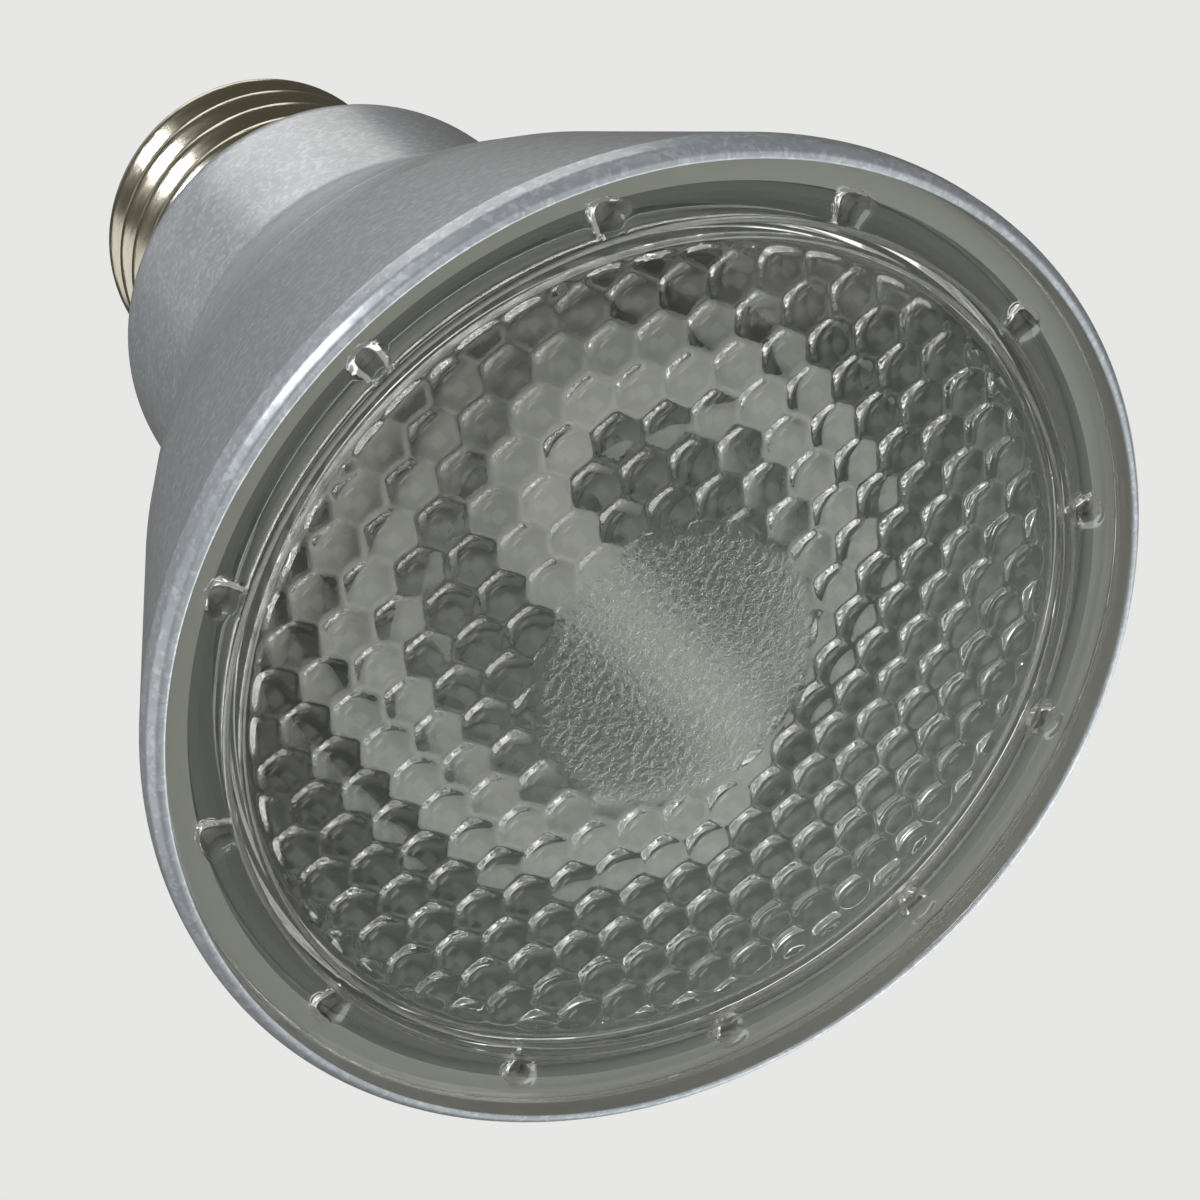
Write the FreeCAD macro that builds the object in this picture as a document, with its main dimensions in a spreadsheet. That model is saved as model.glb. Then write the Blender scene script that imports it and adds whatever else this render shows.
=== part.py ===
"""Compact-fluorescent par spotlight bulb with a screw cap, in millimetres.

The rim of the front lies on Z = 0, the lamp's axis is Z and the screw cap points to +Z.
X passes through one of the gusset tabs of the lens.
"""
import FreeCAD, Part
import Sketcher
import math
import os

Vector = FreeCAD.Vector
AXIS = Vector(0, 0, 1)

DIMENSIONS = {
    # front rim and flare
    "rim_radius": 31.75,
    "rim_width": 1.0,
    "rim_round": 0.4,
    "rim_height": 1.6,
    "shell_wall": 1.5,
    "flare_mid_radius": 25.8,
    "flare_mid_level": 22.7,
    "flare_end_radius": 23.7,
    "flare_end_level": 28.8,
    "ledge_width": 1.35,
    "fit_gap": 0.1,
    # neck
    "shoulder_radius": 17.6,
    "shoulder_level": 44.5,
    "neck_radius": 17.2,
    "neck_turn_level": 60.5,
    "neck_top_radius": 14.6,
    "neck_top_level": 65.5,
    "neck_turn_bevel": 0.9,
    "spigot_depth": 2.5,
    "cap_spigot_height": 6.0,
    "cap_spigot_wall": 1.4,
    "plate_ledge_level": 41.0,
    "board_ledge_level": 47.0,
    "board_ledge_width": 1.0,
    # screw cap
    "crest_radius": 13.1,
    "root_radius": 12.1,
    "thread_radius": 12.6,
    "thread_length": 14.48,
    "cap_skirt": 4.2,
    "cap_plain": 2.6,
    "cap_sheet": 0.3,
    "curl_radius": 10.2,
    "curl_height": 1.6,
    "glass_height": 5.2,
    "glass_bore": 1.2,
    "contact_radius": 4.8,
    "contact_height": 0.8,
    "solder_radius": 1.7,
    "solder_height": 0.6,
    # lens
    "lens_thickness": 1.3,
    "lens_front_level": 1.0,
    "lens_apex_level": 0.2,
    "crown_edge_level": 0.6,
    "lens_body": 1.6,
    "skirt_radius": 27.1,
    "skirt_wall": 1.05,
    "skirt_depth": 2.6,
    "cell_pitch": 2.98,
    "cell_groove": 0.12,
    "cell_root": 0.12,
    "cell_slope": 0.7,
    "cell_turn": 5.6,
    "plain_radius": 9.2,
    "tab_count": 12,
    "tab_sides": 8,
    "tab_root": 0.35,
    "tab_end": 1.15,
    "tab_reach": 29.2,
    # reflector bowl
    "bowl_sheet": 0.5,
    "bowl_mouth": 28.2,
    "bowl_mid_radius": 21.2,
    "bowl_bend_drop": 8.3,
    "bowl_foot": 17.0,
    # spiral tube
    "tube_radius": 3.3,
    "coil_radius": 15.7,
    "coil_turns": 1.178,
    "coil_front": 9.5,
    "bridge_level": 9.0,
    "bridge_bend": 5.3,
    "leg_radius": 11.6,
    "leg_bend": 5.5,
    "leg_top": 35.0,
    "leg_end": 42.2,
    # holder and board
    "plate_radius": 17.5,
    "plate_height": 2.4,
    "cement_radius": 4.2,
    "cement_height": 1.0,
    "board_radius": 15.8,
    "board_height": 1.6,
    "board_notch": 3.0,
    # parts on the board
    "bulk_radius": 5.0,
    "bulk_height": 18.0,
    "bulk_offset": 3.5,
    "core_width": 8.0,
    "core_length": 13.0,
    "core_height": 12.0,
    "core_limb": 2.2,
    "core_offset": -8.0,
    "coil_wall": 0.9,
    "ring_radius": 4.0,
    "ring_bore": 2.1,
    "ring_height": 3.6,
    "ring_aside": 3.0,
    "ring_offset": 10.2,
    "transistor_radius": 2.3,
    "transistor_height": 5.0,
    "transistor_lift": 3.0,
    "low_aside": 8.4,
    "low_offset": -7.4,
    "high_aside": 11.2,
    "high_offset": 4.4,
    "diode_radius": 1.3,
    "diode_height": 5.0,
    "diode_pitch": 3.2,
    "diode_aside": -6.5,
    "diode_offset": -11.5,
    "film_width": 6.0,
    "film_depth": 3.5,
    "film_height": 7.5,
    "film_feet": 2.0,
    "film_aside": -5.0,
    "film_offset": 10.0,
    "disc_radius": 2.2,
    "disc_depth": 1.6,
    "disc_feet": 1.0,
    "disc_aside": -0.6,
    "disc_offset": -7.6,
    "drum_radius": 2.4,
    "drum_height": 6.0,
    "drum_waist": 1.5,
    "drum_flange": 1.0,
    "drum_aside": 12.0,
    "drum_offset": -2.2,
    "fuse_radius": 1.3,
    "fuse_height": 6.5,
    "fuse_aside": 6.7,
    "fuse_offset": -11.3,
    "resistor_radius": 0.9,
    "resistor_height": 3.6,
    "lead_radius": 0.3,
    "post_radius": 0.4,
    "post_height": 2.8,
    "post_ring": 14.4,
    "wire_radius": 0.5,
}

doc = FreeCAD.newDocument("ParSpotlightBulb")
sheet = doc.addObject("Spreadsheet::Sheet", "Dims")
for row, (alias, value) in enumerate(DIMENSIONS.items(), start=1):
    sheet.set(f"A{row}", alias)
    sheet.set(f"B{row}", str(value))
    sheet.setAlias(f"B{row}", alias)
doc.recompute()


def size(alias):
    """The value of one cell of the sheet."""
    return float(sheet.get(alias))


def linked(formula):
    """A formula in the sheet's aliases, as an expression that reads the sheet."""
    words = formula.replace("(", " ( ").replace(")", " ) ").split()
    return " ".join("Dims." + word if word in DIMENSIONS else word for word in words)


def bind(item, prop, formula):
    item.setExpression(prop, linked(str(formula)))


def origin_plane(body, role):
    return next(f for f in body.Origin.OriginFeatures if f.Role == role)


def new_body(label):
    body = doc.addObject("PartDesign::Body", label)
    body.Label = label
    return body


def outline(body, name, corners, role="XZ_Plane"):
    """A closed outline whose corners are pairs of formulas, each bound to the sheet."""
    sketch = body.newObject("Sketcher::SketchObject", name)
    sketch.AttachmentSupport = [(origin_plane(body, role), "")]
    sketch.MapMode = "FlatFace"
    count = len(corners)
    spots = [Vector(10 + 5 * math.cos(2 * math.pi * i / count), 5 * math.sin(2 * math.pi * i / count), 0)
             for i in range(count)]
    for i in range(count):
        sketch.addGeometry(Part.LineSegment(spots[i], spots[(i + 1) % count]), False)
    for i in range(count):
        sketch.addConstraint(Sketcher.Constraint("Coincident", i, 2, (i + 1) % count, 1))
    for i, pair in enumerate(corners):
        for kind, axis, start, formula in (("DistanceX", -2, spots[i].x, pair[0]),
                                           ("DistanceY", -1, spots[i].y, pair[1])):
            if formula == 0:
                sketch.addConstraint(Sketcher.Constraint("PointOnObject", i, 1, axis))
            else:
                index = sketch.addConstraint(Sketcher.Constraint(kind, -1, 1, i, 1, start))
                bind(sketch, f"Constraints[{index}]", formula)
    return sketch


def revolved(label, corners):
    """A body turned about Z from an outline of (radius, level) corners."""
    body = new_body(label)
    sketch = outline(body, label + "_profile", corners)
    turn = body.newObject("PartDesign::Revolution", label + "_turn")
    turn.Profile = sketch
    turn.ReferenceAxis = (sketch, ["V_Axis"])
    turn.Angle = 360
    doc.recompute()
    return body


def ring_edges(shape, radius, level):
    """Names of the circular edges of one radius at one level."""
    names = []
    for number, edge in enumerate(shape.Edges, start=1):
        curve = edge.Curve
        if isinstance(curve, Part.Circle) and abs(curve.Radius - radius) < 0.02 \
                and abs(curve.Center.z - level) < 0.02:
            names.append(f"Edge{number}")
    return names


def bevelled(body, name, radius, level, formula):
    """Bevel the edges of a turned body that lie at one radius and level."""
    edges = ring_edges(body.Shape, radius, level)
    turned = body.Tip
    bevel = body.newObject("PartDesign::Chamfer", name)
    bevel.Base = (turned, edges)
    bind(bevel, "Size", formula)
    body.Tip = bevel
    doc.recompute()
    return bevel


def placed(item, spot):
    for key, formula in zip("xyz", spot):
        if formula != 0:
            bind(item, f"Placement.Base.{key}", formula)
    return item


def cylinder(name, radius, height, spot):
    item = doc.addObject("Part::Cylinder", name)
    bind(item, "Radius", radius)
    bind(item, "Height", height)
    return placed(item, spot)


def peg(name, radius, height, spot):
    """A thin standing part, eight-sided."""
    item = doc.addObject("Part::Prism", name)
    item.Polygon = 8
    bind(item, "Circumradius", radius)
    bind(item, "Height", height)
    return placed(item, spot)


def block(name, length, width, height, spot):
    """A box centred over its spot and standing on it."""
    item = doc.addObject("Part::Box", name)
    bind(item, "Length", length)
    bind(item, "Width", width)
    bind(item, "Height", height)
    return placed(item, (f"{spot[0]} - ({length}) / 2", f"{spot[1]} - ({width}) / 2", spot[2]))


def joined(label, items):
    union = doc.addObject("Part::MultiFuse", label)
    union.Label = label
    union.Shapes = items
    return union


def cut(label, base, tool):
    result = doc.addObject("Part::Cut", label)
    result.Label = label
    result.Base = base
    result.Tool = tool
    return result


def shaped(label, shape):
    item = doc.addObject("Part::Feature", label)
    item.Label = label
    item.Shape = shape
    return item


def rod(points, radius, sides, sections):
    """A rod along a smooth path: many-sided sections joined by flat faces, turned as little as possible."""
    path = Part.BSplineCurve()
    path.interpolate(points)
    first, last = path.FirstParameter, path.LastParameter
    across = Vector(1, 0, 0)
    rings = []
    for step in range(sections + 1):
        where = first + (last - first) * step / sections
        spot = path.value(where)
        ahead = path.tangent(where)[0]
        across = (across - ahead * across.dot(ahead)).normalize()
        over = ahead.cross(across)
        rings.append([spot + (across * math.cos(a) + over * math.sin(a)) * radius
                      for a in (2 * math.pi * i / sides for i in range(sides))])
    faces = [Part.Face(Part.makePolygon(ring + ring[:1])) for ring in (rings[0], rings[-1])]
    for near, far in zip(rings, rings[1:]):
        for i in range(sides):
            j = (i + 1) % sides
            faces.append(Part.Face(Part.makePolygon([near[i], near[j], far[j], near[i]])))
            faces.append(Part.Face(Part.makePolygon([near[i], far[j], far[i], near[i]])))
    return Part.Solid(Part.Shell(faces))


# Outer shells
reflector_housing = revolved("reflector_housing", [
    ("rim_radius - rim_width", 0),
    ("rim_radius - rim_round", 0),
    ("rim_radius", "rim_round"),
    ("rim_radius", "rim_height"),
    ("flare_mid_radius", "flare_mid_level"),
    ("flare_end_radius", "flare_end_level"),
    ("flare_end_radius - shell_wall", "flare_end_level"),
    ("bowl_mouth + fit_gap", "lens_front_level + lens_thickness + 1.4"),
    ("rim_radius - rim_width - ledge_width", "lens_front_level + lens_thickness + 1.4"),
    ("rim_radius - rim_width - ledge_width", "lens_front_level + lens_thickness"),
    ("rim_radius - rim_width", "lens_front_level + lens_thickness"),
])

neck_housing = revolved("neck_housing", [
    ("flare_end_radius - shell_wall - fit_gap", "flare_end_level - spigot_depth"),
    ("flare_end_radius - shell_wall - fit_gap", "flare_end_level"),
    ("flare_end_radius", "flare_end_level"),
    ("shoulder_radius", "shoulder_level"),
    ("neck_radius", "neck_turn_level"),
    ("neck_top_radius", "neck_top_level"),
    ("root_radius - cap_sheet - fit_gap", "neck_top_level"),
    ("root_radius - cap_sheet - fit_gap", "neck_top_level + cap_spigot_height"),
    ("root_radius - cap_sheet - fit_gap - cap_spigot_wall", "neck_top_level + cap_spigot_height"),
    ("root_radius - cap_sheet - fit_gap - cap_spigot_wall", "neck_top_level - shell_wall"),
    ("board_radius + fit_gap - board_ledge_width", "neck_turn_level"),
    ("board_radius + fit_gap - board_ledge_width", "board_ledge_level"),
    ("board_radius + fit_gap", "board_ledge_level"),
    ("board_radius + fit_gap", "plate_ledge_level"),
    ("plate_radius + fit_gap", "plate_ledge_level"),
    ("plate_radius + fit_gap", "plate_ledge_level - plate_height"),
    ("flare_end_radius - 2 * shell_wall", "flare_end_level + shell_wall"),
    ("flare_end_radius - 2 * shell_wall", "flare_end_level - spigot_depth"),
])
bevelled(neck_housing, "neck_turn", size("neck_radius"), size("neck_turn_level"), "neck_turn_bevel")

# Screw cap
cap_end = "neck_top_level + cap_skirt + thread_length"
cap_shell = revolved("cap_shell", [
    ("root_radius - cap_sheet", "neck_top_level"),
    ("crest_radius", "neck_top_level"),
    ("crest_radius", "neck_top_level + cap_plain"),
    ("thread_radius", "neck_top_level + cap_skirt"),
    ("thread_radius", cap_end),
    ("curl_radius", cap_end + " + curl_height"),
    ("curl_radius - cap_sheet", cap_end + " + curl_height - cap_sheet / 2"),
    ("root_radius - cap_sheet", cap_end + " - cap_sheet / 2"),
])

cap_insulator = revolved("cap_insulator", [
    ("glass_bore", cap_end + " - 1.6"),
    ("root_radius - cap_sheet - fit_gap", cap_end + " - 1.6"),
    ("root_radius - cap_sheet - fit_gap", cap_end + " - cap_sheet / 2 - 0.02"),
    ("curl_radius - cap_sheet", cap_end + " + curl_height - cap_sheet"),
    ("curl_radius - cap_sheet", cap_end + " + curl_height"),
    ("contact_radius + 0.4", cap_end + " + glass_height"),
    ("glass_bore", cap_end + " + glass_height"),
])

contact_level = cap_end + " + glass_height"
center_contact = revolved("center_contact", [
    (0, contact_level),
    ("contact_radius", contact_level),
    ("contact_radius", contact_level + " + 0.3"),
    ("solder_radius", contact_level + " + contact_height"),
    (0, contact_level + " + contact_height"),
])

contact_solder = revolved("contact_solder", [
    (0, contact_level + " + contact_height"),
    ("solder_radius", contact_level + " + contact_height"),
    ("solder_radius * 0.7", contact_level + " + contact_height + solder_height * 0.75"),
    (0, contact_level + " + contact_height + solder_height"),
])

# Reflector bowl
ledge = "lens_front_level + lens_thickness + 1.4"
reflector_bowl = revolved("reflector_bowl", [
    ("bowl_mouth", ledge + " - bowl_sheet"),
    ("rim_radius - rim_width - ledge_width - 2 * fit_gap", ledge + " - bowl_sheet"),
    ("rim_radius - rim_width - ledge_width - 2 * fit_gap", ledge),
    ("bowl_mouth", ledge),
    ("bowl_mid_radius + bowl_sheet", "flare_end_level - bowl_bend_drop"),
    ("bowl_foot + bowl_sheet", "plate_ledge_level - plate_height"),
    ("bowl_foot", "plate_ledge_level - plate_height"),
    ("bowl_mid_radius", "flare_end_level - bowl_bend_drop"),
    ("bowl_mouth - bowl_sheet", ledge),
])


# Honeycomb lens
def crown_level(radius):
    """Level of the tops of the pillows, which lie on a shallow dome."""
    apex = size("lens_apex_level")
    reach = size("skirt_radius") - size("skirt_wall")
    return apex + (size("crown_edge_level") - apex) * (radius / reach) ** 2


def lens_blank():
    """Turned blank of the lens: flat plate, seating flange and skirt."""
    front = size("lens_front_level")
    back = front + size("lens_thickness")
    outer = size("rim_radius") - size("rim_width") - size("fit_gap")
    skirt = size("skirt_radius")
    inner = skirt - size("skirt_wall")
    inside = front + size("lens_body")
    tip = back + size("skirt_depth")
    corners = [(0, front), (outer, front), (outer, back), (skirt, back), (skirt, tip),
               (inner, tip), (inner, inside), (0, inside), (0, front)]
    wire = Part.makePolygon([Vector(r, 0, z) for r, z in corners])
    return Part.Face(wire).revolve(Vector(0, 0, 0), AXIS, 360)


def ring_points(sides, reach, level, turn):
    """Corners of an even-sided ring about Z, the first at the turn angle."""
    angles = [math.radians(turn) + 2 * math.pi * i / sides for i in range(sides)]
    return [Vector(reach * math.cos(a), reach * math.sin(a), level) for a in angles]


def frustum(foot, brow):
    """A solid with flat faces between two parallel rings of as many corners."""
    count = len(foot)
    faces = [Part.Face(Part.makePolygon(ring + ring[:1])) for ring in (foot, brow)]
    for i in range(count):
        j = (i + 1) % count
        faces.append(Part.Face(Part.makePolygon([foot[i], foot[j], brow[j], brow[i], foot[i]])))
    return Part.Solid(Part.Shell(faces))


def lens_cell(spot):
    """One pillow of the honeycomb, its foot sunk in the plate."""
    reach = (size("cell_pitch") - size("cell_groove")) / math.sqrt(3)
    turn = size("cell_turn") + 30
    foot = ring_points(6, reach, size("lens_front_level") + size("cell_root"), turn)
    brow = ring_points(6, reach * size("cell_slope"), crown_level(spot.Length), turn)
    return frustum(foot, brow).translated(spot)


def cell_centres():
    """Centres of the whole cells between the plain middle and the skirt."""
    pitch = size("cell_pitch")
    turn = math.radians(size("cell_turn"))
    reach = size("skirt_radius") - size("skirt_wall") - pitch / math.sqrt(3)
    along = Vector(math.cos(turn), math.sin(turn), 0) * pitch
    aslant = Vector(math.cos(turn + math.pi / 3), math.sin(turn + math.pi / 3), 0) * pitch
    steps = range(-int(reach / pitch) - 6, int(reach / pitch) + 7)
    spots = [along * i + aslant * j for i in steps for j in steps]
    return [spot for spot in spots if size("plain_radius") + pitch * 0.3 < spot.Length < reach]


def plain_middle():
    """Low round boss in the middle of the honeycomb."""
    front = size("lens_front_level")
    level = crown_level(size("plain_radius"))
    radius = size("plain_radius") - size("cell_groove")
    return Part.makeCylinder(radius, front - level + size("cell_root"), Vector(0, 0, level))


def lens_tabs():
    """Half-round gussets that widen from the skirt to the flange, one every step round."""
    root = size("skirt_radius") - size("skirt_wall") / 2
    reach = size("tab_reach")
    front = size("lens_front_level")
    level = front + size("lens_thickness") - size("tab_end") / 2
    sides = int(size("tab_sides"))
    lay = FreeCAD.Rotation(Vector(0, 1, 0), 90)
    ends = [[lay.multVec(p) for p in ring_points(sides, radius, along, 180 / sides)]
            for radius, along in ((size("tab_root"), root), (size("tab_end"), reach))]
    tab = frustum(*ends).translated(AXIS * level)
    kept = Part.makeBox(2 * reach, 2 * reach, 2 * reach, Vector(-reach, -reach, front + size("fit_gap")))
    tab = tab.common(kept)
    count = int(size("tab_count"))
    return [tab.rotated(Vector(0, 0, 0), AXIS, 360 * i / count) for i in range(count)]


def lens_shape():
    """The lens: blank, honeycomb, plain middle and gussets joined in one solid."""
    cells = [lens_cell(spot) for spot in cell_centres()]
    return lens_blank().multiFuse(cells + [plain_middle()] + lens_tabs())


lens = shaped("lens", lens_shape())


# Spiral tube
def leg_points():
    """Points of one leg from its end in the holder to the start of the coil."""
    leg = size("leg_radius")
    bend = size("leg_bend")
    top = size("leg_top")
    points = [Vector(leg, 0, size("leg_end")), Vector(leg, 0, (size("leg_end") + top) / 2)]
    for step in range(6):
        angle = math.radians(18 * step)
        points.append(Vector(leg, bend * (math.cos(angle) - 1), top - bend * math.sin(angle)))
    return points


def coil_points(start, steps=14):
    """Points of one coil, which widens over its first three steps as it nears the front."""
    lead = math.atan2(start.y, start.x)
    inner = math.hypot(start.x, start.y)
    drop = start.z - size("coil_front")
    points = []
    for step in range(1, steps + 1):
        angle = lead - 2 * math.pi * size("coil_turns") * step / steps
        radius = inner + (size("coil_radius") - inner) * min(1, step / 3)
        level = start.z - drop * step / steps
        points.append(Vector(radius * math.cos(angle), radius * math.sin(angle), level))
    return points


def bridge_points(start, steps=4):
    """Points of the turn inwards from the coil, up to where the bridge runs straight for the axis."""
    bend = size("bridge_bend")
    lead = math.degrees(math.atan2(start.y, start.x))
    middle = size("coil_radius") - bend
    sweep = math.pi - math.acos(bend / middle)
    fall = size("bridge_level") - start.z
    points = []
    for step in range(1, steps + 1):
        angle = sweep * step / steps
        spot = Vector(middle + bend * math.cos(angle), -bend * math.sin(angle), 0)
        level = start.z + fall * step / (steps + 1)
        points.append(FreeCAD.Rotation(AXIS, lead).multVec(spot) + AXIS * level)
    return points


def half_path():
    """Points of one half of the tube, from its end in the holder to where it nears the axis."""
    points = leg_points()
    points += coil_points(points[-1])
    return points + bridge_points(points[-1])


def tube_path():
    """Both legs and the bridge between them; each half is the other turned about the axis."""
    half = half_path()
    return half + [Vector(0, 0, size("bridge_level"))] + [Vector(-p.x, -p.y, p.z) for p in reversed(half)]


spiral_tube = shaped("spiral_tube", rod(tube_path(), size("tube_radius"), 10, 84))

# Tube holder
tube_base = new_body("tube_base")
plate_outline = tube_base.newObject("Sketcher::SketchObject", "plate_outline")
plate_outline.AttachmentSupport = [(origin_plane(tube_base, "XY_Plane"), "")]
plate_outline.MapMode = "FlatFace"
plate_outline.addGeometry(Part.Circle(Vector(0, 0, 0), AXIS, size("plate_radius")), False)
plate_outline.addConstraint(Sketcher.Constraint("Coincident", 0, 3, -1, 1))
plate_outline.addConstraint(Sketcher.Constraint("Radius", 0, size("plate_radius")))
bind(plate_outline, "Constraints[1]", "plate_radius")
for side in (1, -1):
    index = plate_outline.addGeometry(
        Part.Circle(Vector(side * size("leg_radius"), 0, 0), AXIS, size("tube_radius") + 0.1), False)
    plate_outline.addConstraint(Sketcher.Constraint("PointOnObject", index, 3, -1))
    place = plate_outline.addConstraint(
        Sketcher.Constraint("DistanceX", -1, 1, index, 3, side * size("leg_radius")))
    bind(plate_outline, f"Constraints[{place}]", f"{side} * leg_radius")
    hole = plate_outline.addConstraint(Sketcher.Constraint("Radius", index, size("tube_radius") + 0.1))
    bind(plate_outline, f"Constraints[{hole}]", "tube_radius + fit_gap")
bind(plate_outline, "AttachmentOffset.Base.z", "plate_ledge_level - plate_height")
plate = tube_base.newObject("PartDesign::Pad", "plate")
plate.Profile = plate_outline
bind(plate, "Length", "plate_height")

cement_beads = []
for number, side in enumerate((1, -1)):
    spot = (f"{side} * leg_radius", 0, "plate_ledge_level")
    bead = cylinder(f"bead{number}", "cement_radius", "cement_height", spot)
    bore = cylinder(f"bead_bore{number}", "tube_radius", "cement_height", spot)
    cement_beads.append(cut(f"bead_ring{number}", bead, bore))
tube_cement = joined("tube_cement", cement_beads)

# Ballast board and its parts
circuit_board = new_body("circuit_board")
board_outline = circuit_board.newObject("Sketcher::SketchObject", "board_outline")
board_outline.AttachmentSupport = [(origin_plane(circuit_board, "XY_Plane"), "")]
board_outline.MapMode = "FlatFace"
board_outline.addGeometry(Part.Circle(Vector(0, 0, 0), AXIS, size("board_radius")), False)
board_outline.addConstraint(Sketcher.Constraint("Coincident", 0, 3, -1, 1))
board_outline.addConstraint(Sketcher.Constraint("Radius", 0, size("board_radius")))
bind(board_outline, "Constraints[1]", "board_radius")
bind(board_outline, "AttachmentOffset.Base.z", "board_ledge_level - board_height")
board_pad = circuit_board.newObject("PartDesign::Pad", "board_pad")
board_pad.Profile = board_outline
bind(board_pad, "Length", "board_height")
doc.recompute()
notch = outline(circuit_board, "notch_outline", [
    ("board_radius - board_notch / 2", "0 - board_notch / 2"),
    ("board_radius + board_notch", "0 - board_notch / 2"),
    ("board_radius + board_notch", "board_notch / 2"),
    ("board_radius - board_notch / 2", "board_notch / 2"),
], role="XY_Plane")
notch_cut = circuit_board.newObject("PartDesign::Pocket", "notch_cut")
notch_cut.Profile = notch
notch_cut.Type = "ThroughAll"
notch_cut.Midplane = True

top = "board_ledge_level"

bulk_can = cylinder("bulk_can", "bulk_radius", "bulk_height - 2", ("bulk_offset", 0, top + " + 1"))
bulk_foot = cylinder("bulk_foot", "bulk_radius - 0.5", 1, ("bulk_offset", 0, top))
bulk_top = cylinder("bulk_top", "bulk_radius - 0.6", 1, ("bulk_offset", 0, top + " + bulk_height - 1"))
bulk_capacitor = joined("bulk_capacitor", [bulk_can, bulk_foot, bulk_top])

core_block = block("core_block", "core_width", "core_length", "core_height", ("core_offset", 0, top))
window_depth = "(core_length - 3 * core_limb - 0.6) / 2"
core_window_a = block("core_window_a", "core_width + 1", window_depth, "core_height - 2 * core_limb",
                      ("core_offset", f"(core_limb + 0.6) / 2 + {window_depth} / 2", top + " + core_limb"))
core_window_b = block("core_window_b", "core_width + 1", window_depth, "core_height - 2 * core_limb",
                      ("core_offset", f"0 - (core_limb + 0.6) / 2 - {window_depth} / 2",
                       top + " + core_limb"))
core_windows = joined("core_windows", [core_window_a, core_window_b])
choke_core = cut("choke_core", core_block, core_windows)

coil_side = "core_height - 2 * core_limb - 0.4"
coil_depth = f"core_limb + 0.6 + 2 * ({window_depth} - 0.2)"
coil_outer = block("coil_outer", "core_width + 2 * coil_wall", coil_depth,
                   coil_side, ("core_offset", 0, top + " + core_limb + 0.2"))
coil_bore = block("coil_bore", "core_width", "core_limb + 0.6", "core_height",
                  ("core_offset", 0, top))
choke_coil = cut("choke_coil", coil_outer, coil_bore)

toroid_ring = cylinder("toroid_ring", "ring_radius", "ring_height", ("ring_aside", "ring_offset", top))
toroid_bore = cylinder("toroid_bore", "ring_bore", "ring_height", ("ring_aside", "ring_offset", top))
drive_toroid = cut("drive_toroid", toroid_ring, toroid_bore)


def transistor(name):
    """A moulded half-round transistor on three leads, its flat side to the middle."""
    aside = name + "_aside"
    offset = name + "_offset"
    case = cylinder(name + "_case", "transistor_radius", "transistor_height",
                    (aside, offset, top + " + transistor_lift"))
    case.Angle = 250
    outwards = math.degrees(math.atan2(size(offset), size(aside)))
    case.Placement.Rotation = FreeCAD.Rotation(AXIS, outwards - 125)
    leads = [peg(f"{name}_lead{i}", "lead_radius", "transistor_lift + 0.5",
                 (aside, f"{offset} + {1.27 * (i - 1)}", top)) for i in range(3)]
    return [case] + leads


def standing(name, radius, height, aside, offset):
    """An axial part stood on end over its lead."""
    body = peg(name + "_body", radius, height, (aside, offset, top + " + 0.8"))
    lead = peg(name + "_lead", "lead_radius", 0.8, (aside, offset, top))
    return [body, lead]


def footed(name, reach, height, aside, offset):
    """A pair of leads under a part, one each way along X."""
    return [peg(f"{name}{i}", "lead_radius", height, (f"{aside} + {side} * {reach}", offset, top))
            for i, side in enumerate((-1, 1))]


switching_transistors = joined("switching_transistors", transistor("low") + transistor("high"))
diodes = []
for number in range(4):
    diodes += standing(f"diode{number}", "diode_radius", "diode_height",
                       f"diode_aside + {number} * diode_pitch", "diode_offset")
rectifier_diodes = joined("rectifier_diodes", diodes)

film_case = block("film_case", "film_width", "film_depth", "film_height",
                  ("film_aside", "film_offset", top + " + 0.3"))
resonant_capacitor = joined("resonant_capacitor", [film_case] + footed(
    "film_foot", "film_feet", 0.3, "film_aside", "film_offset"))

disc_body = cylinder("disc_body", "disc_radius", "disc_depth",
                     ("disc_aside", "disc_offset + disc_depth / 2", top + " + disc_radius + 1"))
disc_body.Placement.Rotation = FreeCAD.Rotation(Vector(1, 0, 0), 90)
start_capacitor = joined("start_capacitor", [disc_body] + footed(
    "disc_foot", "disc_feet", "disc_radius + 1", "disc_aside", "disc_offset"))

drum_spot = ("drum_aside", "drum_offset", top)
filter_inductor = joined("filter_inductor", [
    cylinder("drum_foot", "drum_radius", "drum_flange", drum_spot),
    cylinder("drum_middle", "drum_waist", "drum_height", drum_spot),
    cylinder("drum_head", "drum_radius", "drum_flange",
             ("drum_aside", "drum_offset", top + " + drum_height - drum_flange")),
])

fuse_pieces = standing("fuse", "fuse_radius", "fuse_height", "fuse_aside", "fuse_offset")
fuse_resistor = joined("fuse_resistor", fuse_pieces)
RESISTOR_SPOTS = ((-9.6, -8.5), (-7.0, -8.4), (-10.9, 8.0))
resistor_bodies = []
for number, (aside, offset) in enumerate(RESISTOR_SPOTS):
    resistor_bodies += standing(f"resistor{number}", "resistor_radius", "resistor_height", aside, offset)
resistors = joined("resistors", resistor_bodies)


# Wires
def post_spots():
    """Angles of the four wrap posts, two beside each leg of the tube."""
    return [math.radians(a) for a in (12, -12, 168, 192)]


posts = []
for number, angle in enumerate((12, -12, 168, 192)):
    east = round(math.cos(math.radians(angle)), 5)
    north = round(math.sin(math.radians(angle)), 5)
    posts.append(peg(f"post{number}", "post_radius", "post_height", (
        f"post_ring * {east}", f"post_ring * {north}", "board_ledge_level - board_height - post_height")))
filament_posts = joined("filament_posts", posts)


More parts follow.
